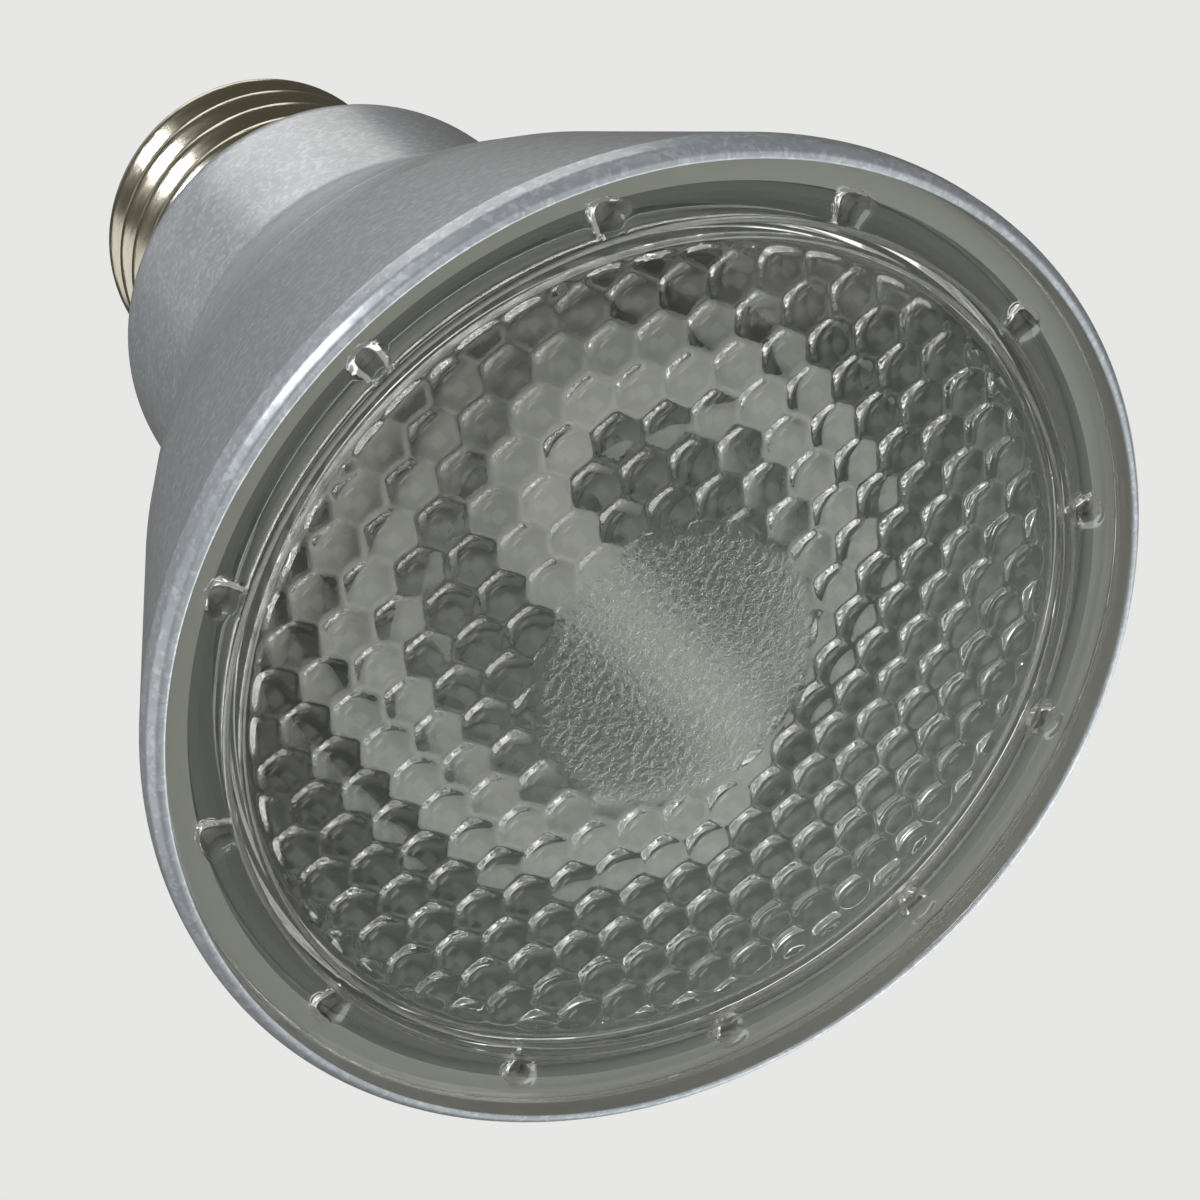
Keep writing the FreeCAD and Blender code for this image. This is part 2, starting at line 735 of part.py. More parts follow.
def filament_lead(angle):
    """One thin lead from the end of a leg of the tube to its post."""
    side = 1 if math.cos(angle) > 0 else -1
    turn = 1 if math.sin(angle) > 0 else -1
    radius = size("lead_radius")
    ring = size("post_ring") - size("post_radius") - radius
    level = size("board_ledge_level") - size("board_height") - 1.2
    start = Vector(side * (size("leg_radius") - 1.0), turn * 1.0, size("leg_end"))
    end = Vector(ring * math.cos(angle), ring * math.sin(angle), level)
    rise = Vector(start.x, start.y, start.z + 0.9)
    return rod([start, rise, end], radius, 6, 5)


filament_leads = shaped("filament_leads", Part.makeCompound([filament_lead(a) for a in post_spots()]))


def wire_path(corners):
    return [Vector(x, y, z) for x, y, z in corners]


neck_top = size("neck_top_level")
board_top = size("board_ledge_level")
contact_under = neck_top + size("cap_skirt") + size("thread_length") + size("glass_height")
live_wire = shaped("live_wire", rod(wire_path([
    (-1.5, 6.0, board_top), (-1.5, 6.0, board_top + 7), (-1.6, 5.4, board_top + 14),
    (-1.0, 2.0, neck_top + 3), (0, 0, neck_top + 9), (0, 0, contact_under - 4), (0, 0, contact_under)]),
    size("wire_radius"), 8, 14))
wall = size("root_radius") - size("cap_sheet") - size("wire_radius")
neutral_wire = shaped("neutral_wire", rod(wire_path([
    (-2.2, -3.8, board_top), (-2.2, -3.8, board_top + 8), (-2.0, -4.6, board_top + 15),
    (-1.2, -7.6, neck_top + 3), (-0.4, -9.0, neck_top + 7), (0, -wall, neck_top + 9.5)]),
    size("wire_radius"), 8, 14))

doc.recompute()

PIECES = (reflector_housing, neck_housing, cap_shell, cap_insulator, center_contact, contact_solder,
          reflector_bowl, lens, spiral_tube, tube_base, tube_cement, circuit_board, bulk_capacitor,
          choke_core, choke_coil, drive_toroid, switching_transistors, rectifier_diodes,
          resonant_capacitor, start_capacitor, filter_inductor, fuse_resistor, resistors,
          filament_posts, filament_leads, live_wire, neutral_wire)

for item in doc.Objects:
    if "Invalid" in item.State or "Error" in item.State:
        raise RuntimeError(f"{item.Name} did not recompute: {item.State}")

os.makedirs("parts", exist_ok=True)
for piece in PIECES:
    shape = piece.Shape
    if shape.isNull() or not shape.isValid():
        raise RuntimeError(f"{piece.Label} has no valid shape")
    shape.exportStep(f"parts/{piece.Label}.step")
    box = shape.BoundBox
    print(f"{piece.Label}: {len(shape.Solids)} solids, {shape.Volume:.1f} mm3, "
          f"z {box.ZMin:.2f} to {box.ZMax:.2f}, reach {max(box.XMax, box.YMax):.2f}")
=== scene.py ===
"""Looks of a compact-fluorescent par spotlight bulb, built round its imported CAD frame.

The lamp stands on its front rim at Z = 0 with the screw cap up. All sizes are in metres.
"""
import logging
import math
from dataclasses import dataclass, field
from enum import Enum
from typing import Callable, Sequence

import bmesh
import bpy
from mathutils import Matrix, Vector


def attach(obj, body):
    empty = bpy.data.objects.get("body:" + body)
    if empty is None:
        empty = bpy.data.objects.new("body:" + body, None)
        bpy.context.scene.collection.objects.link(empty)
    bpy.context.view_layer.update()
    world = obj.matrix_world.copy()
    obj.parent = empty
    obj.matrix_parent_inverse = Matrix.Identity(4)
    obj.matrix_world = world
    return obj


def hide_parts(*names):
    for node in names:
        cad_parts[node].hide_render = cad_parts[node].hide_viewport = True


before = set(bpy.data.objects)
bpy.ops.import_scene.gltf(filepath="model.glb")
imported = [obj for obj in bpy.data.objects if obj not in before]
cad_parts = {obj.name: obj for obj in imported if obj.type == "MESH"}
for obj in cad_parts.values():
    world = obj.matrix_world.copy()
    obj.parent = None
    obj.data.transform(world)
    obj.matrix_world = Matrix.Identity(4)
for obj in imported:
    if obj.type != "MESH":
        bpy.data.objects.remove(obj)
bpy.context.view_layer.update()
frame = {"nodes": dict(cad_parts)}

LOG = logging.getLogger("bulb")
MM = 0.001
TURN = 2 * math.pi
ROOT = "root"

Colour = tuple[float, float, float]
Ring = tuple[float, float]
Corner = tuple[float, float, float]


# Mesh tools
class Shading(Enum):
    """How a finished mesh is shaded."""

    SMOOTH = math.radians(180)
    CREASED = math.radians(38)


@dataclass
class Outline:
    """A turned profile, given corner by corner as radius and level in millimetres."""

    corners: list[Corner] = field(default_factory=list)

    def to(self, radius: float, level: float, rounding: float = 0.0) -> "Outline":
        """Adds a corner.

        Args:
            radius: distance from the axis.
            level: height above the rim plane.
            rounding: radius of the arc that replaces the corner, or 0.

        Returns:
            The outline itself.
        """
        self.corners.append((radius, level, rounding))
        return self

    def run(self, corners: Sequence[Corner | Ring], lift: float = 0.0) -> "Outline":
        """Adds several corners.

        Args:
            corners: radius, level and, where it is rounded, the rounding of each.
            lift: height that is added to every level.

        Returns:
            The outline itself.
        """
        for radius, level, *rounding in corners:
            self.to(radius, level + lift, *rounding)
        return self

    def points(self, closed: bool, arc_steps: int = 6) -> list[Vector]:
        """Corners and arcs as points.

        Args:
            closed: whether the last corner runs back to the first.
            arc_steps: number of runs in each rounded corner.

        Returns:
            Points in the XZ plane, in metres.
        """
        found: list[Vector] = []
        count = len(self.corners)
        for index, (radius, level, rounding) in enumerate(self.corners):
            spot = Vector((radius, 0, level))
            is_end = not closed and index in (0, count - 1)
            if rounding <= 0 or is_end:
                found.append(spot)
                continue
            near = (self.corners[index - 1], self.corners[(index + 1) % count])
            back, ahead = (Vector((corner[0], 0, corner[1])) - spot for corner in near)
            half_angle = back.angle(ahead) / 2
            cut = min(rounding / math.tan(half_angle), back.length * 0.49, ahead.length * 0.49)
            start, end = spot + back.normalized() * cut, spot + ahead.normalized() * cut
            for step in range(arc_steps + 1):
                share = step / arc_steps
                found.append(start.lerp(spot, share).lerp(spot.lerp(end, share), share))
        return [p * MM for p in found]

    def turned(self, steps: int, closed: bool = True, arc_steps: int = 6) -> bmesh.types.BMesh:
        """Spins the profile once round the Z axis.

        Args:
            steps: number of steps in the full turn.
            closed: whether the profile is a loop; else it starts and ends on the axis.
            arc_steps: number of runs in each rounded corner.

        Returns:
            A closed bmesh with its faces outwards.
        """
        shape = bmesh.new()
        verts = [shape.verts.new(p) for p in self.points(closed, arc_steps)]
        edges = [shape.edges.new(pair) for pair in zip(verts, verts[1:])]
        if closed:
            edges.append(shape.edges.new((verts[-1], verts[0])))
        bmesh.ops.spin(shape, geom=verts + edges, cent=(0, 0, 0), axis=(0, 0, 1), dvec=(0, 0, 0),
                       angle=TURN, steps=steps, use_merge=True, use_duplicate=False)
        bmesh.ops.remove_doubles(shape, verts=shape.verts, dist=1e-6)
        bmesh.ops.recalc_face_normals(shape, faces=shape.faces)
        return shape


def radius_of(point: Vector) -> float:
    """Distance of a point from the Z axis."""
    return math.hypot(point.x, point.y)


def eased(value: float, low: float, high: float) -> float:
    """Smooth step from 0 at low to 1 at high."""
    share = min(1.0, max(0.0, (value - low) / (high - low)))
    return share * share * (3 - 2 * share)


def linked(name: str, data: bpy.types.ID) -> bpy.types.Object:
    """A new object in the scene.

    Args:
        name: its name.
        data: its mesh, camera or light.

    Returns:
        The object.
    """
    thing = bpy.data.objects.new(name, data)
    bpy.context.scene.collection.objects.link(thing)
    return thing


def finished(shape: bmesh.types.BMesh, name: str, material: bpy.types.Material,
             nodes: Sequence[str], shading: Shading = Shading.CREASED) -> bpy.types.Object:
    """Turns a bmesh into a piece that stands for CAD nodes.

    Args:
        shape: the mesh; it is freed.
        name: name of the piece.
        material: its finish.
        nodes: CAD nodes that it replaces.
        shading: how its edges are shaded.

    Returns:
        The piece, riding on the root body.
    """
    mesh = bpy.data.meshes.new(name)
    shape.to_mesh(mesh)
    shape.free()
    mesh.shade_smooth()
    if shading is Shading.CREASED:
        mesh.set_sharp_from_angle(angle=shading.value)
    mesh.materials.append(material)
    piece = linked(name, mesh)
    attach(piece, ROOT)
    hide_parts(*nodes)
    return piece


# Shader tools
class Wiring:
    """Short calls for adding and joining nodes in one node tree."""

    def __init__(self, tree: bpy.types.NodeTree) -> None:
        """Keeps the tree."""
        self.tree = tree

    def add(self, kind: str, **values: object) -> bpy.types.Node:
        """Adds a node.

        Args:
            kind: the node's type name.
            values: properties of the node; a name that is an input sets or links that input.

        Returns:
            The node.
        """
        node = self.tree.nodes.new(kind)
        for name, value in values.items():
            label = name.replace("_", " ")
            if hasattr(node, name) and name not in node.inputs:
                setattr(node, name, value)
            else:
                self.feed(node, label, value)
        return node

    def feed(self, node: bpy.types.Node, label: str | int, value: object) -> None:
        """Sets or links one input.

        Args:
            node: the node.
            label: name or number of the input.
            value: a socket to link from, or a constant.
        """
        socket = node.inputs[label]
        if isinstance(value, bpy.types.NodeSocket):
            self.tree.links.new(value, socket)
        elif isinstance(value, tuple) and len(value) == 3 and socket.type == "RGBA":
            socket.default_value = (*value, 1.0)
        else:
            socket.default_value = value

    def maths(self, operation: str, first: object, second: object = 0.0) -> bpy.types.NodeSocket:
        """One Math node.

        Args:
            operation: the node's operation.
            first: first value or socket.
            second: second value or socket.

        Returns:
            Its output.
        """
        node = self.tree.nodes.new("ShaderNodeMath")
        node.operation = operation
        for index, value in enumerate((first, second)):
            self.feed(node, index, value)
        return node.outputs[0]

    def blended(self, share: object, first: object, second: object) -> bpy.types.NodeSocket:
        """A colour mix.

        Args:
            share: 0 for the first colour, 1 for the second.
            first: colour or socket.
            second: colour or socket.

        Returns:
            The mixed colour.
        """
        node = self.tree.nodes.new("ShaderNodeMix")
        node.data_type = "RGBA"
        for index, value in ((0, share), (6, first), (7, second)):
            self.feed(node, index, value)
        return node.outputs[2]

    def reach(self, parts: bpy.types.Node) -> bpy.types.NodeSocket:
        """Distance from the Z axis.

        Args:
            parts: a Separate XYZ node.

        Returns:
            The distance, in metres.
        """
        squares = [self.maths("MULTIPLY", parts.outputs[i], parts.outputs[i]) for i in (0, 1)]
        return self.maths("SQRT", self.maths("ADD", *squares))

    def spread(self, value: object, low: float, high: float, to_low: float = 0.0,
               to_high: float = 1.0) -> bpy.types.NodeSocket:
        """A clamped range change.

        Args:
            value: socket to map.
            low: value that maps to to_low.
            high: value that maps to to_high.
            to_low: result at low.
            to_high: result at high.

        Returns:
            The mapped value.
        """
        node = self.tree.nodes.new("ShaderNodeMapRange")
        for index, number in enumerate((value, low, high, to_low, to_high)):
            self.feed(node, index, number)
        return node.outputs[0]

    def mixed(self, share: bpy.types.NodeSocket, first: bpy.types.Node,
              second: bpy.types.Node) -> bpy.types.Node:
        """A mix of two shaders.

        Args:
            share: 0 for the first shader, 1 for the second.
            first: node of the first shader.
            second: node of the second shader.

        Returns:
            The Mix Shader node.
        """
        node = self.tree.nodes.new("ShaderNodeMixShader")
        for index, socket in enumerate((share, first.outputs[0], second.outputs[0])):
            self.feed(node, index, socket)
        return node

    def show(self, shader: bpy.types.Node) -> None:
        """Links a shader to the tree's output."""
        leave = next(node for node in self.tree.nodes if node.type.startswith("OUTPUT"))
        self.feed(leave, "Surface", shader.outputs[0])


def blank(name: str) -> tuple[bpy.types.Material, Wiring, bpy.types.Node]:
    """A new material.

    Args:
        name: its name.

    Returns:
        The material, its wiring and its Principled BSDF.
    """
    made = bpy.data.materials.new(name)
    made.use_nodes = True
    return made, Wiring(made.node_tree), made.node_tree.nodes["Principled BSDF"]


class Effect:
    """A shader node group with named inputs and outputs, built once."""

    def __init__(self, name: str, inputs: dict[str, float | Colour], outputs: dict[str, str],
                 wire: Callable[[Wiring, bpy.types.Node], dict[str, bpy.types.NodeSocket]]) -> None:
        """Builds the group.

        Args:
            name: name of the group.
            inputs: default of each input.
            outputs: socket kind of each output.
            wire: function that builds the inside and returns the socket of each output.
        """
        self.tree = bpy.data.node_groups.new(name, "ShaderNodeTree")
        for label, value in inputs.items():
            kind = "NodeSocketColor" if isinstance(value, tuple) else "NodeSocketFloat"
            socket = self.tree.interface.new_socket(label, in_out="INPUT", socket_type=kind)
            socket.default_value = (*value, 1.0) if isinstance(value, tuple) else value
        for label, kind in outputs.items():
            self.tree.interface.new_socket(label, in_out="OUTPUT", socket_type=kind)
        entry = self.tree.nodes.new("NodeGroupInput")
        leave = self.tree.nodes.new("NodeGroupOutput")
        for label, socket in wire(Wiring(self.tree), entry).items():
            self.tree.links.new(socket, leave.inputs[label])

    def use(self, wiring: Wiring, **values: object) -> bpy.types.Node:
        """Places the group in a material.

        Args:
            wiring: the material's wiring.
            values: input values, with underscores for spaces.

        Returns:
            The group node.
        """
        node = wiring.tree.nodes.new("ShaderNodeGroup")
        node.node_tree = self.tree
        for name, value in values.items():
            wiring.feed(node, name.replace("_", " "), value)
        return node


def wire_mottle(w: Wiring, entry: bpy.types.Node) -> dict[str, bpy.types.NodeSocket]:
    """Two sizes of soft patches over one colour.

    Args:
        w: wiring of the group.
        entry: the group's inputs.

    Returns:
        Colour, mask and height of the patches.
    """
    parts = w.add("ShaderNodeSeparateXYZ", Vector=w.add("ShaderNodeTexCoord").outputs["Object"])
    place = w.add("ShaderNodeCombineXYZ", X=parts.outputs[0], Y=parts.outputs[1],
                  Z=w.maths("MULTIPLY", parts.outputs[2], entry.outputs["Stretch"])).outputs[0]
    fine_share, broad_share, broad_size = 0.6, 0.4, 0.17
    scale = entry.outputs["Scale"]
    fine = w.add("ShaderNodeTexNoise", Vector=place, Scale=scale, Detail=3.0, Roughness=0.6)
    broad_scale = w.maths("MULTIPLY", scale, broad_size)
    broad = w.add("ShaderNodeTexNoise", Vector=place, Scale=broad_scale, Detail=2.0, Roughness=0.5)
    both = w.maths("ADD", w.maths("MULTIPLY", fine.outputs[0], fine_share),
                   w.maths("MULTIPLY", broad.outputs[0], broad_share))
    mask = w.spread(both, 0.36, 0.64)
    share = w.maths("MULTIPLY", mask, entry.outputs["Amount"])
    return {"Color": w.blended(share, entry.outputs["Color"], entry.outputs["Patch"]), "Mask": mask,
            "Height": both}


def wire_flakes(w: Wiring, entry: bpy.types.Node) -> dict[str, bpy.types.NodeSocket]:
    """Metal flakes in paint: each cell has its own brightness and tilt.

    Args:
        w: wiring of the group.
        entry: the group's inputs.

    Returns:
        A mask of bright flakes and a height of their tilt.
    """
    place = w.add("ShaderNodeTexCoord").outputs["Object"]
    cells = w.add("ShaderNodeTexVoronoi", Vector=place, Scale=entry.outputs["Scale"])
    parts = w.add("ShaderNodeSeparateColor", Color=cells.outputs["Color"])
    bright = w.spread(parts.outputs[0], 0.55, 1.0)
    soft_scale = w.maths("MULTIPLY", entry.outputs["Scale"], 0.45)
    soft = w.add("ShaderNodeTexNoise", Vector=place, Scale=soft_scale, Detail=2.0)
    height = w.maths("ADD", w.maths("MULTIPLY", parts.outputs[1], 0.5), soft.outputs[0])
    return {"Mask": bright, "Height": height}


def wire_stipple(w: Wiring, entry: bpy.types.Node) -> dict[str, bpy.types.NodeSocket]:
    """Fine frosted wrinkles inside one radius round the axis, and the matt crests of two beads.

    Args:
        w: wiring of the group.
        entry: the group's inputs.

    Returns:
        The masks of the frosted disc and of the beads, and the height of the disc's grain.
    """
    outer_face, inner_face = 0.0010, 0.0012
    wander_scale, wander_share = 700.0, 0.12
    bead_end, bead_start = 0.021, 0.017
    place = w.add("ShaderNodeTexCoord").outputs["Object"]
    parts = w.add("ShaderNodeSeparateXYZ", Vector=place)
    reach = w.maths("DIVIDE", w.reach(parts), entry.outputs["Radius"])
    wander = w.add("ShaderNodeTexNoise", Vector=place, Scale=wander_scale, Detail=1.0)
    edge = w.maths("ADD", reach, w.maths("MULTIPLY", wander.outputs[0], wander_share))
    disc = w.maths("MULTIPLY", w.spread(edge, 1.08, 0.96),
                   w.spread(parts.outputs[2], outer_face, inner_face))
    grain = w.add("ShaderNodeTexNoise", Vector=place, Scale=entry.outputs["Scale"], Detail=3.0,
                  Roughness=0.65, Distortion=0.6)
    gaps = [w.maths("ABSOLUTE", w.maths("SUBTRACT", reach, entry.outputs[label]))
            for label in ("Inner Bead", "Outer Bead")]
    beads = [w.spread(gap, bead_end, bead_start) for gap in gaps]
    crests = w.maths("MULTIPLY", w.maths("MAXIMUM", *beads),
                     w.spread(parts.outputs[2], inner_face, outer_face))
    return {"Mask": disc, "Beads": crests, "Height": w.maths("MULTIPLY", grain.outputs[0], disc)}


@dataclass
class Effects:
    """The shared shader groups of this lamp."""

    mottle: Effect = field(default_factory=lambda: Effect(
        "mottle", {"Color": (0.5, 0.5, 0.5), "Patch": (0.4, 0.4, 0.4), "Amount": 0.5, "Scale": 900.0,
                   "Stretch": 1.0},
        {"Color": "NodeSocketColor", "Mask": "NodeSocketFloat", "Height": "NodeSocketFloat"}, wire_mottle))
    flakes: Effect = field(default_factory=lambda: Effect(
        "flakes", {"Scale": 4200.0}, {"Mask": "NodeSocketFloat", "Height": "NodeSocketFloat"}, wire_flakes))
    stipple: Effect = field(default_factory=lambda: Effect(
        "stipple", {"Radius": 0.0092, "Scale": 2200.0, "Inner Bead": 2.9, "Outer Bead": 3.0},
        {"Mask": "NodeSocketFloat", "Beads": "NodeSocketFloat", "Height": "NodeSocketFloat"}, wire_stipple))


@dataclass(frozen=True)
class Finish:
    """A plain moulded, metal or ceramic finish with its own grain."""

    name: str
    colour: Colour
    patch: Colour
    amount: float = 0.5
    scale: float = 900.0
    roughness: float = 0.4
    rough_swing: float = 0.08
    stretch: float = 1.0
    metallic: float = 0.0
    bump: float = 0.15
    bump_depth: float = 0.00002

    def material(self, effects: Effects) -> bpy.types.Material:
        """Builds the material.

        Args:
            effects: the shared shader groups.

        Returns:
            The material.
        """
        made, w, shader = blank(self.name)
        grain = effects.mottle.use(w, Color=self.colour, Patch=self.patch, Amount=self.amount,
                                   Scale=self.scale, Stretch=self.stretch)
        w.feed(shader, "Base Color", grain.outputs["Color"])
        low, high = self.roughness - self.rough_swing, self.roughness + self.rough_swing
        w.feed(shader, "Roughness", w.spread(grain.outputs["Mask"], 0.0, 1.0, low, high))
        w.feed(shader, "Metallic", self.metallic)
        relief = w.add("ShaderNodeBump", Strength=self.bump, Distance=self.bump_depth,
                       Height=grain.outputs["Height"])
        w.feed(shader, "Normal", relief.outputs[0])
        return made


@dataclass(frozen=True)
class SilverPaint:
    """Silver metallic paint on moulded plastic: flakes over soft patches, and painted shade on the lens
    seat inside the rim.
    """

    name: str = "silver_paint"
    colour: Colour = (0.52, 0.56, 0.61)
    patch: Colour = (0.40, 0.435, 0.48)
    bright: Colour = (0.78, 0.82, 0.87)
    # Darker olive colour of the lens seat inside the rim: painted shade.
    seat: Colour = (0.34, 0.345, 0.31)
    seat_radius: float = 0.0308
    seat_level: float = 0.0040
    roughness: float = 0.38
    rough_swing: tuple[float, float] = (0.04, 0.06)
    metallic: float = 0.4
    coat: float = 0.8
    coat_roughness: float = 0.24
    mottle_scale: float = 1050.0
    mottle_bump: tuple[float, float] = (0.4, 0.00004)
    flake_scale: float = 3300.0
    flake_share: float = 0.5
    flake_bump: tuple[float, float] = (0.5, 0.000025)

    def material(self, effects: Effects) -> bpy.types.Material:
        """Builds the material.

        Args:
            effects: the shared shader groups.

        Returns:
            The material.
        """
        made, w, shader = blank(self.name)
        patches = effects.mottle.use(w, Color=self.colour, Patch=self.patch, Amount=0.8,
                                     Scale=self.mottle_scale)
        flakes = effects.flakes.use(w, Scale=self.flake_scale)
        share = w.maths("MULTIPLY", flakes.outputs["Mask"], self.flake_share)
        parts = w.add("ShaderNodeSeparateXYZ", Vector=w.add("ShaderNodeTexCoord").outputs["Object"])
        # Inside the rim and below the seat level the paint turns a darker olive: painted shade of the lens
        # seat behind the flange.
        inner = w.maths("MULTIPLY", w.maths("LESS_THAN", w.reach(parts), self.seat_radius),
                        w.maths("LESS_THAN", parts.outputs[2], self.seat_level))
        painted = w.blended(share, patches.outputs["Color"], self.bright)
        w.feed(shader, "Base Color", w.blended(inner, painted, self.seat))
        w.feed(shader, "Roughness", w.spread(patches.outputs["Mask"], 0.0, 1.0,
                                             self.roughness - self.rough_swing[0],
                                             self.roughness + self.rough_swing[1]))
        w.feed(shader, "Metallic", self.metallic)
        w.feed(shader, "Coat Weight", self.coat)
        w.feed(shader, "Coat Roughness", self.coat_roughness)
        low = w.add("ShaderNodeBump", Strength=self.mottle_bump[0], Distance=self.mottle_bump[1],
                    Height=patches.outputs["Height"])
        fine = w.add("ShaderNodeBump", Strength=self.flake_bump[0], Distance=self.flake_bump[1],
                     Height=flakes.outputs["Height"], Normal=low.outputs[0])
        w.feed(shader, "Normal", fine.outputs[0])
        return made


@dataclass(frozen=True)
class BowlMirror:
    """Metallised plastic, with a non-metal flange outside one radius whose dark colour is painted shade."""

    name: str = "metallised_bowl"
    colour: Colour = (0.63, 0.63, 0.60)
    patch: Colour = (0.55, 0.55, 0.52)
    # Dark colour of the flange outside one radius: painted shade of the recess behind the lens.
    flange_shade: Colour = (0.105, 0.107, 0.092)
    shade_radius: float = 0.0262
    shade_roughness: float = 0.5
    edge: float = 0.0001
    roughness: float = 0.16
    grain_scale: float = 300.0
    grain_bump: tuple[float, float] = (0.1, 0.00003)

    def material(self, effects: Effects) -> bpy.types.Material:
        """Builds the material.

        Args:
            effects: the shared shader groups.

        Returns:
            The material.
        """
        made, w, shader = blank(self.name)
        parts = w.add("ShaderNodeSeparateXYZ", Vector=w.add("ShaderNodeTexCoord").outputs["Object"])
        # Outside the shade radius the flange turns dark and non-metal; its dark colour is painted shade.
        flange = w.spread(w.reach(parts), self.shade_radius - self.edge, self.shade_radius + self.edge)
        grain = effects.mottle.use(w, Color=self.colour, Patch=self.patch, Amount=0.5,
                                   Scale=self.grain_scale)
        w.feed(shader, "Base Color", w.blended(flange, grain.outputs["Color"], self.flange_shade))
        w.feed(shader, "Metallic", w.maths("SUBTRACT", 1.0, flange))
        w.feed(shader, "Roughness", w.spread(flange, 0.0, 1.0, self.roughness, self.shade_roughness))
        relief = w.add("ShaderNodeBump", Strength=self.grain_bump[0], Distance=self.grain_bump[1],
                       Height=grain.outputs["Height"])
        w.feed(shader, "Normal", relief.outputs[0])
        return made


@dataclass(frozen=True)
class ClearLens:
    """Clear moulded lens, frosted in a disc round the axis; shadow rays pass through."""

    name: str = "clear_lens"
    tint: Colour = (0.955, 0.965, 0.945)
    shade: Colour = (0.86, 0.87, 0.84)
    frost_radius: float = 0.0092
    frost_scale: float = 2100.0
    frost_depth: float = 0.00022
    index: float = 1.5
    clear_roughness: float = 0.03
    frost_roughness: float = 0.11
    inner_bead: float = 0.0263
    outer_bead: float = 0.0272
    bead_roughness: float = 0.45

    def material(self, effects: Effects) -> bpy.types.Material:
        """Builds the material.

        Args:
            effects: the shared shader groups.

        Returns:
            The material.
        """
        made, w, shader = blank(self.name)
        stipple = effects.stipple.use(w, Radius=self.frost_radius, Scale=self.frost_scale,
                                      Inner_Bead=self.inner_bead / self.frost_radius,
                                      Outer_Bead=self.outer_bead / self.frost_radius)
        w.feed(shader, "Base Color", self.tint)
        w.feed(shader, "Transmission Weight", 1.0)
        w.feed(shader, "IOR", self.index)
        matt = w.maths("MAXIMUM", w.maths("MULTIPLY", stipple.outputs["Mask"], self.frost_roughness),
                       w.maths("MULTIPLY", stipple.outputs["Beads"], self.bead_roughness))
        w.feed(shader, "Roughness", w.maths("MAXIMUM", matt, self.clear_roughness))
        relief = w.add("ShaderNodeBump", Strength=1.0, Distance=self.frost_depth,
                       Height=stipple.outputs["Height"])
        w.feed(shader, "Normal", relief.outputs[0])
        through = w.add("ShaderNodeBsdfTransparent", Color=self.shade)
        path = w.add("ShaderNodeLightPath")
        w.show(w.mixed(path.outputs["Is Shadow Ray"], shader, through))
        return made


# The lamp's pieces
@dataclass
class Shell:
    """The painted flare with its rim and the painted neck behind it."""

    paint: bpy.types.Material
    lip: tuple[Corner, ...] = ((30.75, 0.0, 0.2), (31.25, 0.0, 0.5), (31.7, 0.6, 0.7), (31.75, 1.8, 0.9))
    wall: float = 1.5
    waist: Corner = (25.8, 22.7, 14.0)
    seam: Corner = (23.7, 28.8, 0.25)
    shoulder: Corner = (17.6, 44.5, 7.0)
    neck: Corner = (17.2, 60.5, 5.0)
    neck_top: Corner = (14.6, 65.5, 1.2)
    throat: float = 28.3
    ledge_radius: float = 29.1
    ledge_level: float = 2.3
    ledge_depth: float = 1.4
    tongue: float = 2.5
    tongue_gap: float = 0.1
    spigot: float = 11.7
    spigot_length: float = 6.0
    spigot_wall: float = 1.4
    neck_inside: tuple[Ring, ...] = ((14.9, 60.5), (14.9, 47.0), (15.9, 47.0), (15.9, 41.0), (17.6, 41.0),
                                     (17.6, 38.6), (20.7, 30.3), (20.7, 26.3))

    def build_flare(self) -> bpy.types.Object:
        """The flare: rounded rim, tapering wall, lens seat inside.

        Returns:
            The piece.
        """
        ledge_back = self.ledge_level + self.ledge_depth
        outline = (Outline()
                   .run(self.lip)
                   .to(*self.waist)
                   .to(*self.seam)
                   .to(self.seam[0] - self.wall, self.seam[1])
                   .to(self.waist[0] - self.wall, self.waist[1])
                   .to(self.throat, ledge_back)
                   .to(self.ledge_radius, ledge_back)
                   .to(self.ledge_radius, self.ledge_level)
                   .to(self.lip[0][0], self.ledge_level))
        shape = outline.turned(steps=192)
        return finished(shape, "flare", self.paint, ["reflector_housing"])

    def build_neck(self) -> bpy.types.Object:
        """The neck: tongue in the flare, shoulder, slim drum, and the spigot under the cap.

        Returns:
            The piece.
        """
        tongue, foot = self.seam[0] - self.wall - self.tongue_gap, self.seam[1]
        bore, top = self.spigot - self.spigot_wall, self.neck_top[1]
        outline = (Outline()
                   .to(tongue, foot - self.tongue)
                   .to(tongue, foot)
                   .run([self.seam, self.shoulder, self.neck, self.neck_top])
                   .to(self.spigot, top)
                   .to(self.spigot, top + self.spigot_length)
                   .to(bore, top + self.spigot_length)
                   .to(bore, top - self.wall)
                   .run(self.neck_inside))
        shape = outline.turned(steps=160)
        return finished(shape, "neck", self.paint, ["neck_housing"])


